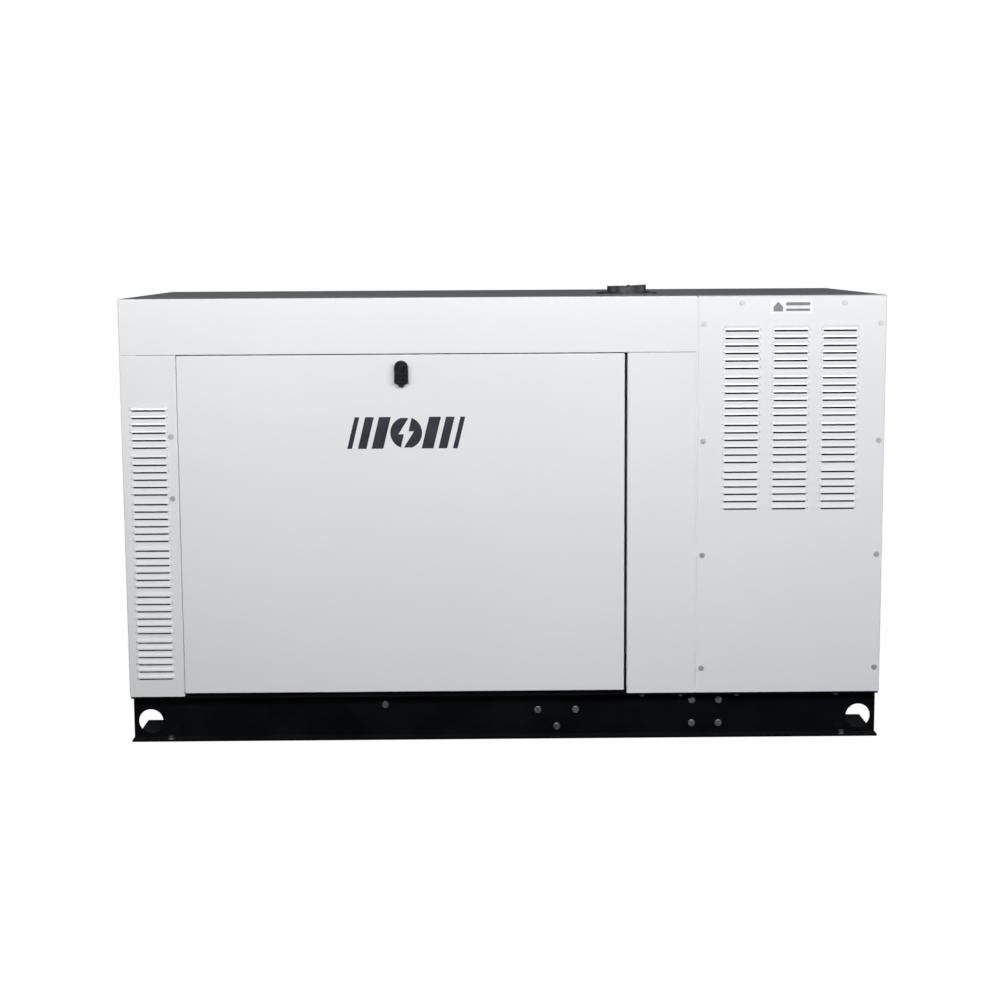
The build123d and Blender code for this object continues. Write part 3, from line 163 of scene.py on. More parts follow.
MATERIALS = {
    "white_paint": surface("white_powder_coat", (0.775, 0.785, 0.80), (0.80, 0.81, 0.825),
                           rough=(0.30, 0.38), scale=1.4, grain=(0.10, 700), coat=0.7,
                           coat_rough=0.12),
    "black_paint": surface("black_powder_coat", (0.0018, 0.0022, 0.003), (0.0035, 0.004, 0.0055),
                           rough=(0.3, 0.45), scale=9, grain=(0.25, 900), specular=0.10,
                           dust=0.025),
    "zinc": surface("zinc_plate", (0.36, 0.37, 0.39), (0.58, 0.59, 0.60),
                    rough=(0.25, 0.42), scale=60, grain=(0.15, 1500), metallic=1.0),
    "galvanised": surface("galvanised_sheet", (0.42, 0.44, 0.46), (0.60, 0.62, 0.64),
                          rough=(0.35, 0.5), scale=25, grain=(0.1, 300), metallic=0.9),
    "black_plastic": surface("black_moulding", (0.008, 0.009, 0.011), (0.016, 0.017, 0.02),
                             rough=(0.38, 0.5), scale=30, grain=(0.35, 1600), dust=0.06),
    "black_rubber": surface("black_rubber", (0.010, 0.010, 0.011), (0.022, 0.022, 0.024),
                            rough=(0.6, 0.75), scale=40, grain=(0.4, 900)),
    "foam": surface("acoustic_foam", (0.016, 0.016, 0.018), (0.045, 0.045, 0.05),
                    rough=(0.85, 0.95), scale=120, grain=(1.0, 260)),
    "cast_grey": surface("painted_casting", (0.075, 0.08, 0.085), (0.13, 0.135, 0.14),
                         rough=(0.45, 0.65), scale=14, grain=(0.8, 380), dust=0.12),
    "cast_aluminium": surface("cast_aluminium", (0.46, 0.47, 0.48), (0.66, 0.66, 0.67),
                              rough=(0.38, 0.55), scale=20, grain=(0.7, 450), metallic=0.85,
                              dust=0.1),
    "hot_steel": surface("heat_tinted_steel", (0.16, 0.10, 0.06), (0.34, 0.31, 0.29),
                         rough=(0.4, 0.62), scale=10, grain=(0.4, 500), metallic=0.8),
    "filter_white": surface("filter_enamel", (0.66, 0.66, 0.63), (0.72, 0.72, 0.69),
                            rough=(0.2, 0.28), scale=20, grain=(0.05, 600), coat=0.4),
    "stator_paint": surface("stator_enamel", (0.035, 0.038, 0.042), (0.06, 0.065, 0.07),
                            rough=(0.35, 0.5), scale=12, grain=(0.4, 500), dust=0.12),
    "grey_paint": surface("grey_texture_paint", (0.24, 0.25, 0.265), (0.30, 0.31, 0.325),
                          rough=(0.45, 0.55), scale=8, grain=(0.5, 800)),
    "yellow_plastic": surface("yellow_moulding", (0.75, 0.44, 0.02), (0.85, 0.52, 0.04),
                              rough=(0.3, 0.4), scale=40, grain=(0.2, 900)),
}
LATCH_BLACK = surface("latch_moulding", (0.006, 0.0075, 0.012), (0.012, 0.014, 0.020),
                      rough=(0.24, 0.34), scale=60, grain=(0.1, 1600), specular=0.18)
NAVY = surface("navy_mark", (0.010, 0.014, 0.021), (0.016, 0.021, 0.030),
               rough=(0.32, 0.4), scale=30, grain=(0.05, 900))
LABEL_WHITE = surface("label_film", (0.80, 0.80, 0.80), (0.86, 0.86, 0.86),
                      rough=(0.3, 0.38), scale=30, grain=(0.05, 900))
LABEL_GREY = surface("label_grey", (0.16, 0.17, 0.18), (0.22, 0.23, 0.24),
                     rough=(0.3, 0.38), scale=30, grain=(0.05, 900))
# Near-black sheet for behind the louver slots: painted shade standing in for the unlit inside of the
# cabinet.
SHADE_SHEET = surface("painted_shade_sheet", (0.004, 0.004, 0.005), (0.010, 0.010, 0.012),
                 rough=(0.6, 0.8), scale=200, grain=(0.8, 700))
SCREW = surface("plated_screw", (0.42, 0.43, 0.45), (0.56, 0.57, 0.59),
                rough=(0.34, 0.5), scale=80, grain=(0.15, 1500), metallic=0.45)
FOAM_FACE = surface("foam_skin", (0.014, 0.014, 0.016), (0.05, 0.05, 0.055),
                    rough=(0.85, 0.95), scale=160, grain=(0.9, 420))
GLASS = surface("display_glass", (0.006, 0.012, 0.010), (0.014, 0.026, 0.020),
                rough=(0.06, 0.12), scale=50, coat=0.8, coat_rough=0.03)
RED = surface("red_moulding", (0.42, 0.012, 0.010), (0.52, 0.02, 0.016),
              rough=(0.3, 0.4), scale=60, grain=(0.2, 900))
GREEN = surface("green_lens", (0.01, 0.25, 0.04), (0.02, 0.34, 0.07),
                rough=(0.15, 0.22), scale=60, coat=0.5)

record_slot = {part["node"]: part["material_slot"] for part in frame["record"]["subparts"]}
for name, node in nodes.items():
    node.data.materials.clear()
    node.data.materials.append(MATERIALS[record_slot[name]])
nodes["enclosure_screws"].data.materials[0] = SCREW

# ------------------------------------------------------------------ mesh helpers
BEVEL_SEGMENTS = 2
BEVEL_ANGLE = 35
SUNK = 0.001  # how far a raised detail reaches into what it stands on


def piece(name, mesh_maker, material, body="cabinet"):
    """A new mesh object from a function that fills a bmesh, riding on a body."""
    mesh = bpy.data.meshes.new(name)
    shape = bmesh.new()
    mesh_maker(shape)
    bmesh.ops.recalc_face_normals(shape, faces=shape.faces)
    shape.to_mesh(mesh)
    shape.free()
    thing = bpy.data.objects.new(name, mesh)
    scene.collection.objects.link(thing)
    mesh.materials.append(material)
    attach(thing, body)
    return thing


def bevelled(thing, width):
    """Round the sharp edges of a piece a little."""
    bevel = thing.modifiers.new("bevel", "BEVEL")
    bevel.width = width
    bevel.segments = BEVEL_SEGMENTS
    bevel.limit_method = "ANGLE"
    bevel.angle_limit = radians(BEVEL_ANGLE)
    return thing


def around(x, y, radius, turn):
    """The point on a circle at an angle."""
    return (x + radius * cos(turn), y + radius * sin(turn))


def prism(shape, outline, y_front, y_back):
    """A flat plate from (x, z) points in metres, between two Y planes."""
    front = [shape.verts.new((x, y_front, z)) for x, z in outline]
    back = [shape.verts.new((x, y_back, z)) for x, z in outline]
    shape.faces.new(front)
    shape.faces.new(list(reversed(back)))
    count = len(outline)
    for i in range(count):
        j = (i + 1) % count
        shape.faces.new((front[i], back[i], back[j], front[j]))


def lathe(shape, centre, axis, profile, steps=40):
    """A ring or a knob: (radius, along) points turned about an axis. A knob starts at radius 0."""
    spin = Vector(axis).to_track_quat("Z", "Y").to_matrix()
    rings = []
    for radius, along in profile:
        turns = [2 * pi * i / steps for i in range(steps if radius > 0 else 1)]
        points = [Vector((*around(0, 0, radius, turn), along)) for turn in turns]
        rings.append([shape.verts.new(Vector(centre) + spin @ point) for point in points])
    pairs = list(zip(rings, rings[1:]))
    if profile[0][0] > 0:
        pairs.append((rings[-1], rings[0]))
    for near, far in pairs:
        for i in range(steps):
            j = (i + 1) % steps
            corners = [near[i % len(near)], near[j % len(near)],
                       far[j % len(far)], far[i % len(far)]]
            shape.faces.new(list(dict.fromkeys(corners)))


def band(shape, centre, axis, radius, thick, wide):
    """A flat strap round a pipe, with rounded edges."""
    edge = thick * 0.35
    half = wide / 2
    lathe(shape, centre, axis, [(radius, -half), (radius + thick - edge, -half),
                                (radius + thick, -half + edge), (radius + thick, half - edge),
                                (radius + thick - edge, half), (radius, half)])


def rounded_rectangle(low, high, radius, steps=6):
    """(x, z) points round a rectangle with rounded corners."""
    corners = [(high[0] - radius, high[1] - radius), (low[0] + radius, high[1] - radius),
               (low[0] + radius, low[1] + radius), (high[0] - radius, low[1] + radius)]
    return [around(x, z, radius, (quarter + i / steps) * pi / 2)
            for quarter, (x, z) in enumerate(corners) for i in range(steps + 1)]


def slab(shape, low, high, corner_radius=0.0):
    """A plate between two corners, which may have rounded corners seen from the front."""
    outline = [(high[0], high[2]), (low[0], high[2]), (low[0], low[2]), (high[0], low[2])]
    if corner_radius:
        outline = rounded_rectangle((low[0], low[2]), (high[0], high[2]), corner_radius, steps=5)
    prism(shape, outline, low[1], high[1])


def hexagon_head(shape, at, axis, across, tall):
    """A flanged hexagon head with a chamfered top, standing on a point along an axis."""
    flange, corner, crown = across * 0.72, across * 0.575, across * 0.48
    lathe(shape, at, axis, [(0, 0), (flange, 0), (flange, tall * 0.2), (0, tall * 0.2)], 28)
    lathe(shape, at, axis, [(0, tall * 0.15), (corner, tall * 0.15), (corner, tall * 0.85),
                            (crown, tall), (0, tall)], 6)


# ------------------------------------------------------------------ generic mark on the door
MARK_X, MARK_Z = -0.249, 0.8045
MARK_HALF = 0.0405
MARK_PROUD = 0.0005
MARK_SLANT = 0.020
MARK_BARS = ((0.064, 0.030), (0.103, 0.022), (0.135, 0.012))  # from the middle, and width
MARK_ARC_START, MARK_ARC_SWEEP, MARK_ARC_STEPS = pi / 2 + 0.35, pi - 0.55, 24
BOLT_EDGE = [(-0.010, -1.0), (-0.002, -0.10), (-0.016, -0.10), (0.010, 1.0)]  # z in half heights
BOLT_HALF_GAP = 0.004
BOLT_HEIGHT_SHARE = 0.93


def door_mark(shape):
    """Slanted bars on both sides of a disc with a bolt-shaped gap: it stands for no maker."""
    outlines = []
    low, high = MARK_Z - MARK_HALF, MARK_Z + MARK_HALF
    for side in (-1, 1):
        for step, wide in MARK_BARS:
            left = MARK_X + side * step - wide / 2
            right = MARK_X + side * step + wide / 2
            outlines.append([(left - MARK_SLANT / 2, low), (right - MARK_SLANT / 2, low),
                             (right + MARK_SLANT / 2, high), (left + MARK_SLANT / 2, high)])
    arc = [around(MARK_X, MARK_Z, MARK_HALF, MARK_ARC_START + i * MARK_ARC_SWEEP / MARK_ARC_STEPS)
           for i in range(MARK_ARC_STEPS + 1)]
    gap = [(MARK_X + x - BOLT_HALF_GAP, MARK_Z + z * MARK_HALF * BOLT_HEIGHT_SHARE)
           for x, z in BOLT_EDGE]
    left_half = arc + gap
    outlines.append(left_half)
    outlines.append([(2 * MARK_X - x, 2 * MARK_Z - z) for x, z in left_half])
    for outline in outlines:
        prism(shape, outline, FRONT_Y - MARK_PROUD, FRONT_Y)


piece("door_mark", door_mark, NAVY, "door")

# ------------------------------------------------------------------ blank label on the tall panel
LABEL_LOW, LABEL_HIGH = (0.678, 1.101), (0.785, 1.139)
LABEL_ROUND = 0.003
LABEL_PROUD = 0.0003
PRINT_PROUD = 0.0001
SYMBOL = [(0.008, 0.006), (0.032, 0.006), (0.032, 0.018), (0.020, 0.031), (0.008, 0.018)]
BAR_X = (0.040, 0.101)
BARS_Z = ((0.007, 0.013), (0.021, 0.029))
BAR_ROUND = 0.0015


def label_film(shape):
    prism(shape, rounded_rectangle(LABEL_LOW, LABEL_HIGH, LABEL_ROUND),
          FRONT_Y - LABEL_PROUD, FRONT_Y)


def label_print(shape):
    """A house-shaped symbol and two plain bars, with no words."""
    left, low = LABEL_LOW
    front = FRONT_Y - LABEL_PROUD
    prism(shape, [(left + x, low + z) for x, z in SYMBOL], front - PRINT_PROUD, front)
    for bar_low, bar_high in BARS_Z:
        bar = rounded_rectangle((left + BAR_X[0], low + bar_low),
                                (left + BAR_X[1], low + bar_high), BAR_ROUND, steps=3)
        prism(shape, bar, front - PRINT_PROUD, front)


piece("rating_label", label_film, LABEL_WHITE)
piece("rating_label_print", label_print, LABEL_GREY)

# ------------------------------------------------------------------ painted shade: near-black sheets behind the louvers
SHADE_SHEET_BACK = 0.012
POST_GAP = 0.0022  # just behind the sheet, in front of the corner posts
TRAY_WALL = 0.0008
TRAY_RIM = 0.006
# Each shade sheet's low corner, high corner, plane, signed depth, and the axis that it faces along.
SHADE_SHEETS = {
    # The left sheets sit in front of the corner posts, so the slots show painted shade instead of the
    # posts.
    "screen_left_front": ((-0.960, 0.150), (-0.850, 0.890), FRONT_Y + POST_GAP, 0.0006, "Y"),
    "screen_right_front": ((0.545, 0.585), (0.920, 1.085), FRONT_Y + SHADE_SHEET_BACK, 0.006, "Y"),
    "screen_left_back": ((-0.960, 0.150), (-0.850, 0.890), BACK_Y - POST_GAP, -0.0006, "Y"),
    "screen_right_back": ((0.545, 0.585), (0.920, 1.085), BACK_Y - SHADE_SHEET_BACK, -0.006, "Y"),
    "screen_left_end": ((-0.270, 0.380), (0.270, 0.890), LEFT_X + SHADE_SHEET_BACK, 0.006, "X"),
    "screen_right_end": ((-0.345, 0.400), (0.345, 1.030), RIGHT_X - SHADE_SHEET_BACK, -0.006, "X"),
}


def tray(shape, low, high, plane, depth, axis):
    """A shallow tray with a turned-up rim, facing along an axis, with a signed depth."""
    wall = min(TRAY_WALL, abs(depth) / 4)
    floor_plane = plane + (wall if depth > 0 else -wall)
    rings = []
    for inset, away in ((0, plane), (0, plane + depth), (wall, plane + depth),
                        (TRAY_RIM, floor_plane)):
        left, bottom = low[0] + inset, low[1] + inset
        right, top = high[0] - inset, high[1] - inset
        corners = ((left, bottom), (right, bottom), (right, top), (left, top))
        rings.append([shape.verts.new((away, u, v) if axis == "X" else (u, away, v))
                      for u, v in corners])
    for near, far in zip(rings, rings[1:]):
        for i in range(4):
            j = (i + 1) % 4
            shape.faces.new((near[i], near[j], far[j], far[i]))
    shape.faces.new(rings[0])
    shape.faces.new(rings[-1])


# Each tray is a near-black sheet of painted shade, so the louver slots read as the dark inside.
for name, (low, high, plane, depth, axis) in SHADE_SHEETS.items():
    make_shade_sheet = partial(tray, low=low, high=high, plane=plane, depth=depth, axis=axis)
    piece(name, make_shade_sheet, SHADE_SHEET)

# ------------------------------------------------------------------ rounded edges on the CAD pieces
EDGE_ROUNDING = {
    "filler_collar": 0.0008, "filler_lid": 0.0008, "latch_body": 0.0006, "control_box": 0.0012,
    "main_breaker": 0.0008, "battery": 0.0015, "cylinder_head": 0.0015, "gas_mixer": 0.0015,
    "engine_mounts": 0.0012, "radiator_cap": 0.0008, "oil_fill_cap": 0.0008,
    "mode_rocker": 0.0004, "breaker_toggle": 0.0006,
}
for name, width in EDGE_ROUNDING.items():
    bevelled(nodes[name], width)

# ------------------------------------------------------------------ strip in the seam of the tall panel
SEAM_X = (right_low.x - 0.0020, right_low.x + 0.0012)
SEAM_Z = (right_low.z + 0.001, right_high.z - 0.002)
SEAM_RECESS = (0.0007, 0.0018)
SEAM_ROUND = 0.0003


def seam_strip(shape):
    slab(shape, (SEAM_X[0], FRONT_Y + SEAM_RECESS[0], SEAM_Z[0]),
         (SEAM_X[1], FRONT_Y + SEAM_RECESS[1], SEAM_Z[1]))


bevelled(piece("seam_strip", seam_strip, MATERIALS["white_paint"]), SEAM_ROUND)

# ------------------------------------------------------------------ door latch
latch_low, latch_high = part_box("latch_handle")
LATCH_X, LATCH_Z = -0.260, 0.971
LATCH_FRONT, LATCH_BACK = latch_low.y, -0.4293
LATCH_FACE = LATCH_FRONT + 0.0045
LATCH_HALF = 0.017
LATCH_FOOT = 0.9294
LATCH_CHAMFER = 0.004
LATCH_ROUND = 0.0005

RIBS = ((0.9543, 0.0024), (0.9416, 0.0026), (0.9338, 0.0030))  # the height and thickness of each
RIB_INSET, RIB_BACK = 0.0006, 0.0004
TEETH, TEETH_CIRCLE, TEETH_RAISE, TEETH_BACK = 8, 0.0125, 0.001, 0.0052
TOOTH = [(0, 0), (0.0020, 0), (0.0014, 0.0030), (0, 0.0034)]
BARREL = [(0, 0), (0.0095, 0), (0.0095, 0.0042), (0.0085, 0.0050), (0.0062, 0.0050),
          (0.0056, 0.0036), (0, 0.0036)]
NUB_HALF, NUB_DROP, NUB_RAISE = 0.009, 0.0095, 0.001
NUB_Y = (LATCH_FRONT + 0.006, LATCH_FRONT + 0.012)
SHAFT_RADIUS, SHAFT_CHAMFER = 0.0080, 0.0006
CAM_X = (LATCH_X - 0.008, LATCH_X + 0.026)
CAM_Y = (-0.394, -0.390)
CAM_HALF, CAM_ROUND = 0.006, 0.003


def latch_lever(shape):
    """A round-topped lever with a key barrel, three grip ribs and a padlock nub."""
    left, right = LATCH_X - LATCH_HALF, LATCH_X + LATCH_HALF
    top = [around(LATCH_X, LATCH_Z, LATCH_HALF, pi * i / 20) for i in range(21)]
    foot = [(left, LATCH_FOOT + LATCH_CHAMFER), (left + LATCH_CHAMFER, LATCH_FOOT),
            (right - LATCH_CHAMFER, LATCH_FOOT), (right, LATCH_FOOT + LATCH_CHAMFER)]
    prism(shape, top + foot, LATCH_FACE, LATCH_BACK)
    for height, tall in RIBS:
        slab(shape, (left + RIB_INSET, LATCH_FRONT + RIB_BACK, height - tall / 2),
             (right - RIB_INSET, LATCH_FACE + SUNK, height + tall / 2))
    for tooth in range(TEETH):
        turn = (2 * tooth + 1) * pi / TEETH
        x, z = around(LATCH_X, LATCH_Z + TEETH_RAISE, TEETH_CIRCLE, turn)
        lathe(shape, (x, LATCH_FRONT + TEETH_BACK, z), (0, -1, 0), TOOTH, 12)
    lathe(shape, (LATCH_X, LATCH_FACE + SUNK, LATCH_Z), (0, -1, 0), BARREL)
    nub_turns = [pi + pi * i / 12 for i in range(13)]
    nub = [(LATCH_X + NUB_HALF * cos(turn), LATCH_FOOT + NUB_RAISE + NUB_DROP * sin(turn))
           for turn in nub_turns]
    prism(shape, nub, *NUB_Y)


def latch_cam(shape):
    """The turning shaft and the flat cam behind the door."""
    reach = latch_high.y - LATCH_BACK
    lathe(shape, (LATCH_X, latch_high.y, LATCH_Z), (0, -1, 0),
          [(0, 0), (SHAFT_RADIUS - SHAFT_CHAMFER, 0), (SHAFT_RADIUS, SHAFT_CHAMFER),
           (SHAFT_RADIUS, reach), (0, reach)])
    slab(shape, (CAM_X[0], CAM_Y[0], LATCH_Z - CAM_HALF), (CAM_X[1], CAM_Y[1], LATCH_Z + CAM_HALF),
         CAM_ROUND)


lever = piece("latch_lever", latch_lever, LATCH_BLACK, "latch")
bevelled(lever, LATCH_ROUND)
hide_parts("latch_handle")
piece("latch_cam", latch_cam, MATERIALS["zinc"], "latch")

# ------------------------------------------------------------------ convoluted foam inside the door
lining_low, lining_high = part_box("door_lining")
FOAM_PITCH = 0.024
FOAM_RELIEF = 0.006
FOAM_STEPS = 3
FOAM_GLUE = 0.0002


def foam_sheet(shape):
    """A sheet with egg-box bumps towards the engine and a flat glued face."""
    across = int((lining_high.x - lining_low.x) / FOAM_PITCH) * FOAM_STEPS
    up = int((lining_high.z - lining_low.z) / FOAM_PITCH) * FOAM_STEPS
    grid = []
    for i in range(across + 1):
        column = []
        for j in range(up + 1):
            x = lining_low.x + (lining_high.x - lining_low.x) * i / across
            z = lining_low.z + (lining_high.z - lining_low.z) * j / up
            on_edge = i in (0, across) or j in (0, up)
            bump = 0.5 - 0.5 * cos(pi * i / FOAM_STEPS) * cos(pi * j / FOAM_STEPS)
            drop = FOAM_RELIEF * (1.0 if on_edge else bump)
            column.append(shape.verts.new((x, lining_high.y - drop, z)))
        grid.append(column)
    for i in range(across):
        for j in range(up):
            shape.faces.new((grid[i][j], grid[i + 1][j], grid[i + 1][j + 1], grid[i][j + 1]))
    rim = ([grid[i][0] for i in range(across)] + [grid[across][j] for j in range(up)]
           + [grid[i][up] for i in range(across, 0, -1)] + [grid[0][j] for j in range(up, 0, -1)])
    base = [shape.verts.new((v.co.x, lining_low.y + FOAM_GLUE, v.co.z)) for v in rim]
    for k in range(len(rim)):
        n = (k + 1) % len(rim)
        shape.faces.new((rim[k], rim[n], base[n], base[k]))
    shape.faces.new(base)


foam = piece("door_foam", foam_sheet, FOAM_FACE, "door")
for face in foam.data.polygons:
    face.use_smooth = len(face.vertices) == 4
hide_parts("door_lining")

# ------------------------------------------------------------------ engine details
cover_low, cover_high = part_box("valve_cover")
BLOCK_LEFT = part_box("engine_block")[0].x
VALVE_TOP = 0.7445
COIL_X, COIL_Y = (-0.310, -0.215, -0.105), -0.045
COIL_HALF_X, COIL_HALF_Y, COIL_TALL = 0.022, 0.030, 0.012
COIL_ROUND, COIL_EDGE = 0.004, 0.001
COIL_BOOT = [(0, 0), (0.012, 0), (0.012, 0.006), (0.009, 0.009), (0, 0.009)]
COVER_BOLTS, COVER_BOLT_INSET, COVER_BOLT_Y, COVER_FLANGE = 6, 0.020, 0.1045, 0.006
BLOCK_SIDE = -0.1195
PLUG_X, PLUG_Z = (-0.318, -0.168, -0.018), 0.480
PLUG = [(0, 0.0015), (0.014, 0.0015), (0.017, 0.004), (0.019, 0.004), (0.019, 0), (0, 0)]
SIDE_BOLTS, SIDE_BOLT_INSET, SIDE_BOLT_PITCH, SIDE_BOLT_Z = 7, 0.055, 0.058, 0.350


def ignition_coils(shape):
    for x in COIL_X:
        slab(shape, (x - COIL_HALF_X, COIL_Y - COIL_HALF_Y, VALVE_TOP),
             (x + COIL_HALF_X, COIL_Y + COIL_HALF_Y, VALVE_TOP + COIL_TALL), COIL_ROUND)
        lathe(shape, (x, COIL_Y, VALVE_TOP + COIL_TALL - SUNK), (0, 0, 1), COIL_BOOT)


def cover_bolts(shape):
    """Flanged bolts along both edges of the valve cover."""
    pitch = (cover_high.x - cover_low.x - 2 * COVER_BOLT_INSET) / (COVER_BOLTS - 1)
    for side in (-1, 1):
        for i in range(COVER_BOLTS):
            at = (cover_low.x + COVER_BOLT_INSET + i * pitch, side * COVER_BOLT_Y,
                  cover_low.z + COVER_FLANGE)
            hexagon_head(shape, at, (0, 0, 1), 0.008, 0.006)


def core_plugs(shape):
    """Pressed plugs and bolts along the block's side."""
    for x in PLUG_X:
        lathe(shape, (x, BLOCK_SIDE, PLUG_Z), (0, -1, 0), PLUG)
    for i in range(SIDE_BOLTS):
        x = BLOCK_LEFT + SIDE_BOLT_INSET + i * SIDE_BOLT_PITCH
        hexagon_head(shape, (x, BLOCK_SIDE, SIDE_BOLT_Z), (0, -1, 0), 0.010, 0.007)


coils = piece("ignition_coils", ignition_coils, MATERIALS["black_plastic"])
bevelled(coils, COIL_EDGE)
piece("cover_bolts", cover_bolts, MATERIALS["zinc"])
piece("core_plugs", core_plugs, MATERIALS["zinc"])

# Worm-drive clamps where each water and fuel hose meets its spout: (place, along, radius).
HOSE_CLAMPS = [
    ((0.082, 0.085, 0.645), (1, 0, 0), 0.0190),
    ((0.272, 0.150, 0.862), (1, 0, 0), 0.0190),
    ((0.272, 0.222, 0.220), (1, 0, 0), 0.0190),
    ((0.0, 0.140, 0.470), (0, 1, 0), 0.0190),
    ((-0.060, 0.320, 0.520), (0, 0, 1), 0.0130),
    ((0.049, -0.215, 0.690), (0, 0, 1), 0.0130),
]
CLAMP_THICK, CLAMP_WIDE = 0.0012, 0.012
CLAMP_WORM_OUT = 0.002
CLAMP_WORM = [(0, -0.007), (0.0042, -0.007), (0.0046, 0.004), (0.0032, 0.007), (0, 0.007)]


def hose_clamps(shape):
    for at, along, radius in HOSE_CLAMPS:
        band(shape, at, along, radius, CLAMP_THICK, CLAMP_WIDE)
        side = Vector(along).orthogonal().normalized()
        lathe(shape, Vector(at) + side * (radius + CLAMP_WORM_OUT), Vector(along).cross(side),
              CLAMP_WORM, 10)


piece("hose_clamps", hose_clamps, MATERIALS["zinc"])

# ------------------------------------------------------------------ alternator details
stator_low, stator_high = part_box("stator")
CRANK_Z = 0.380
BEAD_X = (stator_low.x + 0.012, -0.560, stator_high.x - 0.012)
BEAD_RADIUS, BEAD_THICK, BEAD_WIDE = 0.1798, 0.004, 0.016
RING_X = stator_low.x - 0.0215
RING_BOLTS, RING_BOLT_CIRCLE = 12, 0.160


def stator_bands(shape):
    """Rolled beads round the barrel and bolts round its end ring."""
    for x in BEAD_X:
        band(shape, (x, 0, CRANK_Z), (1, 0, 0), BEAD_RADIUS, BEAD_THICK, BEAD_WIDE)
    for i in range(RING_BOLTS):
        y, z = around(0, CRANK_Z, RING_BOLT_CIRCLE, 2 * pi * i / RING_BOLTS)
        hexagon_head(shape, (RING_X, y, z), (-1, 0, 0), 0.010, 0.006)


piece("stator_bands", stator_bands, MATERIALS["stator_paint"])

# ------------------------------------------------------------------ battery details
battery_low, battery_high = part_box("battery")
BATTERY_TOP = 0.3285
POLE_Y = -0.333
POLE_INSET = 0.030
POLE_COVER = [(0.0096, 0), (0.0190, 0), (0.0190, 0.009), (0.0160, 0.0120), (0.0096, 0.0120)]
STRAP_HALF, STRAP_OVERHANG, STRAP_TOP = 0.014, 0.006, 0.3315
STRAP_NUT_INSET, STRAP_ROUND = 0.004, 0.0006


def terminal_cover(shape, pole_x):
    lathe(shape, (pole_x, POLE_Y, BATTERY_TOP), (0, 0, 1), POLE_COVER)


def battery_strap(shape):
    """A hold-down bar across the battery's top, with a nut at each end."""
    middle = (battery_low.x + battery_high.x) / 2
    slab(shape, (middle - STRAP_HALF, battery_low.y - STRAP_OVERHANG, BATTERY_TOP),
         (middle + STRAP_HALF, battery_high.y + STRAP_OVERHANG, STRAP_TOP))
    for y in (battery_low.y + STRAP_NUT_INSET, battery_high.y - STRAP_NUT_INSET):
        hexagon_head(shape, (middle, y, STRAP_TOP), (0, 0, 1), 0.013, 0.008)


POLES = {"live_terminal_cover": (battery_low.x + POLE_INSET, RED),
         "earth_terminal_cover": (battery_high.x - POLE_INSET, MATERIALS["black_plastic"])}
for name, (pole_x, finish) in POLES.items():
    piece(name, partial(terminal_cover, pole_x=pole_x), finish)
strap = piece("battery_strap", battery_strap, MATERIALS["galvanised"])
bevelled(strap, STRAP_ROUND)

# ------------------------------------------------------------------ controller details
box_low, box_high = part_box("control_box")
BOX_SCREW_X = (box_low.x + 0.012, box_high.x - 0.012)
BOX_SCREW_Z = (0.634, 0.946)
BOX_FRONT = -0.3500
BOX_SCREW = [(0, 0), (0.0060, 0), (0.0060, 0.0016), (0.0046, 0.0028), (0, 0.0028)]
DISPLAY_LOW, DISPLAY_HIGH = (-0.763, -0.3578, 0.862), (-0.647, -0.3560, 0.923)
DISPLAY_ROUND = 0.004
LAMP_Y, LAMP_Z = -0.3580, 0.838
LAMP = [(0, 0), (0.0038, 0), (0.0036, 0.0014), (0.0022, 0.0026), (0, 0.0030)]
LAMPS = {"ready_lamp": (-0.760, GREEN), "fault_lamp": (-0.738, RED)}


def display(shape):
    slab(shape, DISPLAY_LOW, DISPLAY_HIGH, DISPLAY_ROUND)


def box_screws(shape):
    """Quarter-turn screws in the corners of the control box front."""
    for x in BOX_SCREW_X:
        for z in BOX_SCREW_Z:
            lathe(shape, (x, BOX_FRONT, z), (0, -1, 0), BOX_SCREW, 24)


def panel_lamp(shape, x):
    lathe(shape, (x, LAMP_Y, LAMP_Z), (0, -1, 0), LAMP, 20)


piece("display", display, GLASS)
piece("box_screws", box_screws, MATERIALS["zinc"])
for name, (lamp_x, finish) in LAMPS.items():
    piece(name, partial(panel_lamp, x=lamp_x), finish)

# ------------------------------------------------------------------ roof cap screws
collar_low, collar_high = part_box("filler_collar")
CAP_AT = ((collar_low.x + collar_high.x) / 2, (collar_low.y + collar_high.y) / 2)
COLLAR_SCREWS, COLLAR_CIRCLE = 6, 0.068
COLLAR_TOP = roof_high.z + 0.003
COLLAR_SCREW = [(0, 0), (0.0050, 0), (0.0046, 0.0016), (0.0026, 0.0026), (0, 0.0028)]


def collar_screws(shape):
    for i in range(COLLAR_SCREWS):
        x, y = around(*CAP_AT, COLLAR_CIRCLE, 2 * pi * (i + 0.5) / COLLAR_SCREWS)
        lathe(shape, (x, y, COLLAR_TOP), (0, 0, 1), COLLAR_SCREW, 24)


piece("collar_screws", collar_screws, MATERIALS["black_plastic"])

# ------------------------------------------------------------------ floor, world and lights
FLOOR_HALF = 40.0
FLOOR_FELT = (0.10, 0.10, 0.11, 1)
SKY_FELT, SKY_FELT_STRENGTH = (0.86, 0.93, 1.0, 1), 0.05
SKY_SEEN = (1, 1, 1, 1)


def path_mix(tree, seen, felt):
    """Mix two shaders: what the camera sees, and what lights the object."""
    path = tree.nodes.new("ShaderNodeLightPath")
    mix = tree.nodes.new("ShaderNodeMixShader")
    link(tree, path.outputs["Is Camera Ray"], mix.inputs["Fac"])
    link(tree, felt, mix.inputs[1])
    link(tree, seen, mix.inputs[2])
    return mix.outputs["Shader"]


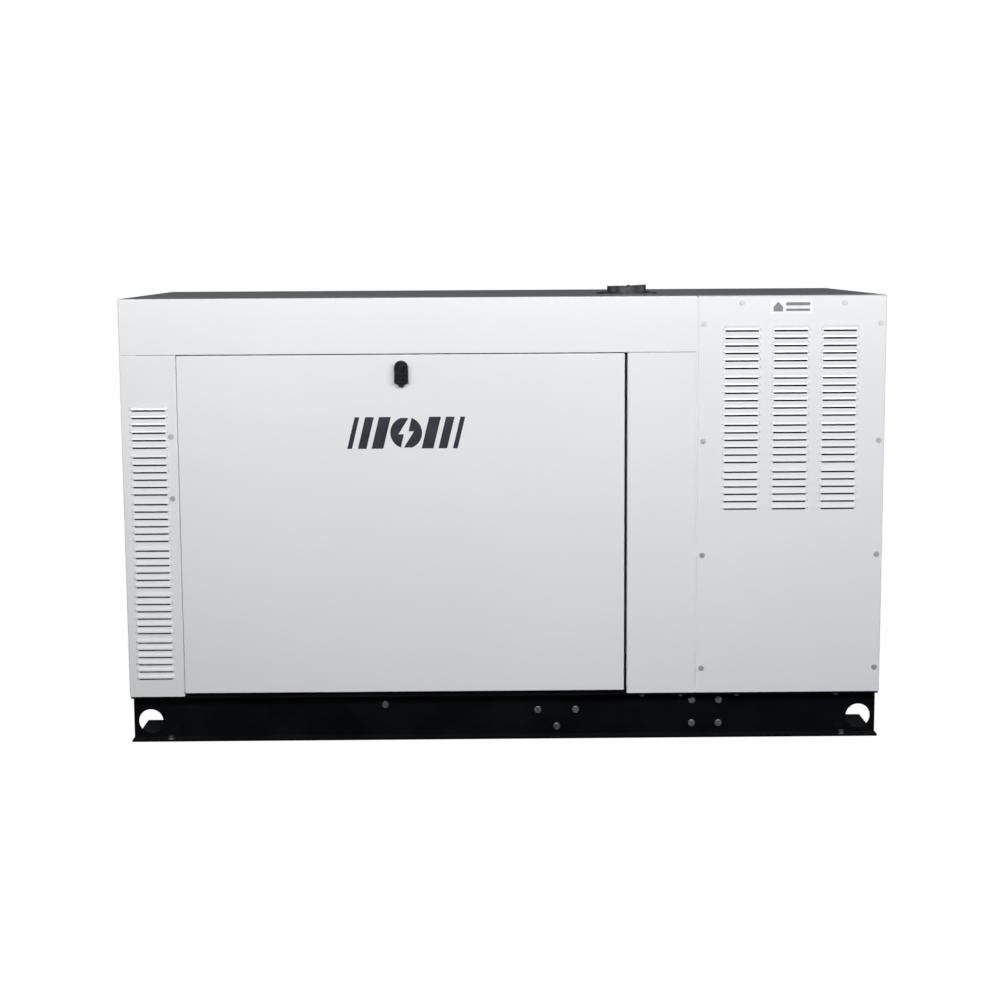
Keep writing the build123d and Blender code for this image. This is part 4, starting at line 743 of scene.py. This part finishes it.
floor_mesh = bpy.data.meshes.new("floor")
floor_corners = [(-FLOOR_HALF, -FLOOR_HALF, 0), (FLOOR_HALF, -FLOOR_HALF, 0),
                 (FLOOR_HALF, FLOOR_HALF, 0), (-FLOOR_HALF, FLOOR_HALF, 0)]
floor_mesh.from_pydata(floor_corners, [], [(0, 1, 2, 3)])
floor = bpy.data.objects.new("floor", floor_mesh)
scene.collection.objects.link(floor)
floor_material = bpy.data.materials.new("pale_floor")
floor_material.use_nodes = True
floor_tree = floor_material.node_tree
floor_tree.nodes.remove(floor_tree.nodes["Principled BSDF"])
floor_seen = floor_tree.nodes.new("ShaderNodeEmission")
floor_seen.inputs["Strength"].default_value = 1.0
floor_felt = floor_tree.nodes.new("ShaderNodeBsdfDiffuse")
floor_felt.inputs["Color"].default_value = FLOOR_FELT
floor_mix = path_mix(floor_tree, floor_seen.outputs["Emission"], floor_felt.outputs["BSDF"])
link(floor_tree, floor_mix, floor_tree.nodes["Material Output"].inputs["Surface"])
floor_mesh.materials.append(floor_material)

world = bpy.data.worlds.new("studio")
scene.world = world
world.use_nodes = True
world_tree = world.node_tree
sky_felt = world_tree.nodes["Background"]
sky_felt.inputs["Color"].default_value = SKY_FELT
sky_felt.inputs["Strength"].default_value = SKY_FELT_STRENGTH
sky_seen = world_tree.nodes.new("ShaderNodeBackground")
sky_seen.inputs["Color"].default_value = SKY_SEEN
sky_seen.inputs["Strength"].default_value = 1.0
sky_mix = path_mix(world_tree, sky_seen.outputs["Background"], sky_felt.outputs["Background"])
link(world_tree, sky_mix, world_tree.nodes["World Output"].inputs["Surface"])


def softbox(name, at, aim, size, watts, mirrored=True):
    """A rectangular studio light aimed at a place. Unless mirrored, gloss doesn't show it."""
    data = bpy.data.lights.new(name, "AREA")
    data.shape = "RECTANGLE"
    data.size, data.size_y = size
    data.energy = watts
    lamp = bpy.data.objects.new(name, data)
    scene.collection.objects.link(lamp)
    lamp.location = at
    lamp.visible_camera = False
    lamp.visible_glossy = mirrored
    lamp.rotation_euler = (Vector(aim) - Vector(at)).to_track_quat("-Z", "Y").to_euler()


softbox("key", (0.1, -2.6, 1.58), (0, FRONT_Y, 1.05), (5.0, 0.7), 87)
softbox("left_side", (-3.6, -0.2, 1.6), (LEFT_X, 0, 0.8), (2.4, 0.7), 27)
softbox("right_side", (3.6, -0.2, 1.6), (RIGHT_X, 0, 0.8), (2.4, 0.7), 27)
softbox("back", (0, 3.4, 1.6), (0, BACK_Y, 0.9), (4.4, 0.7), 80, mirrored=False)
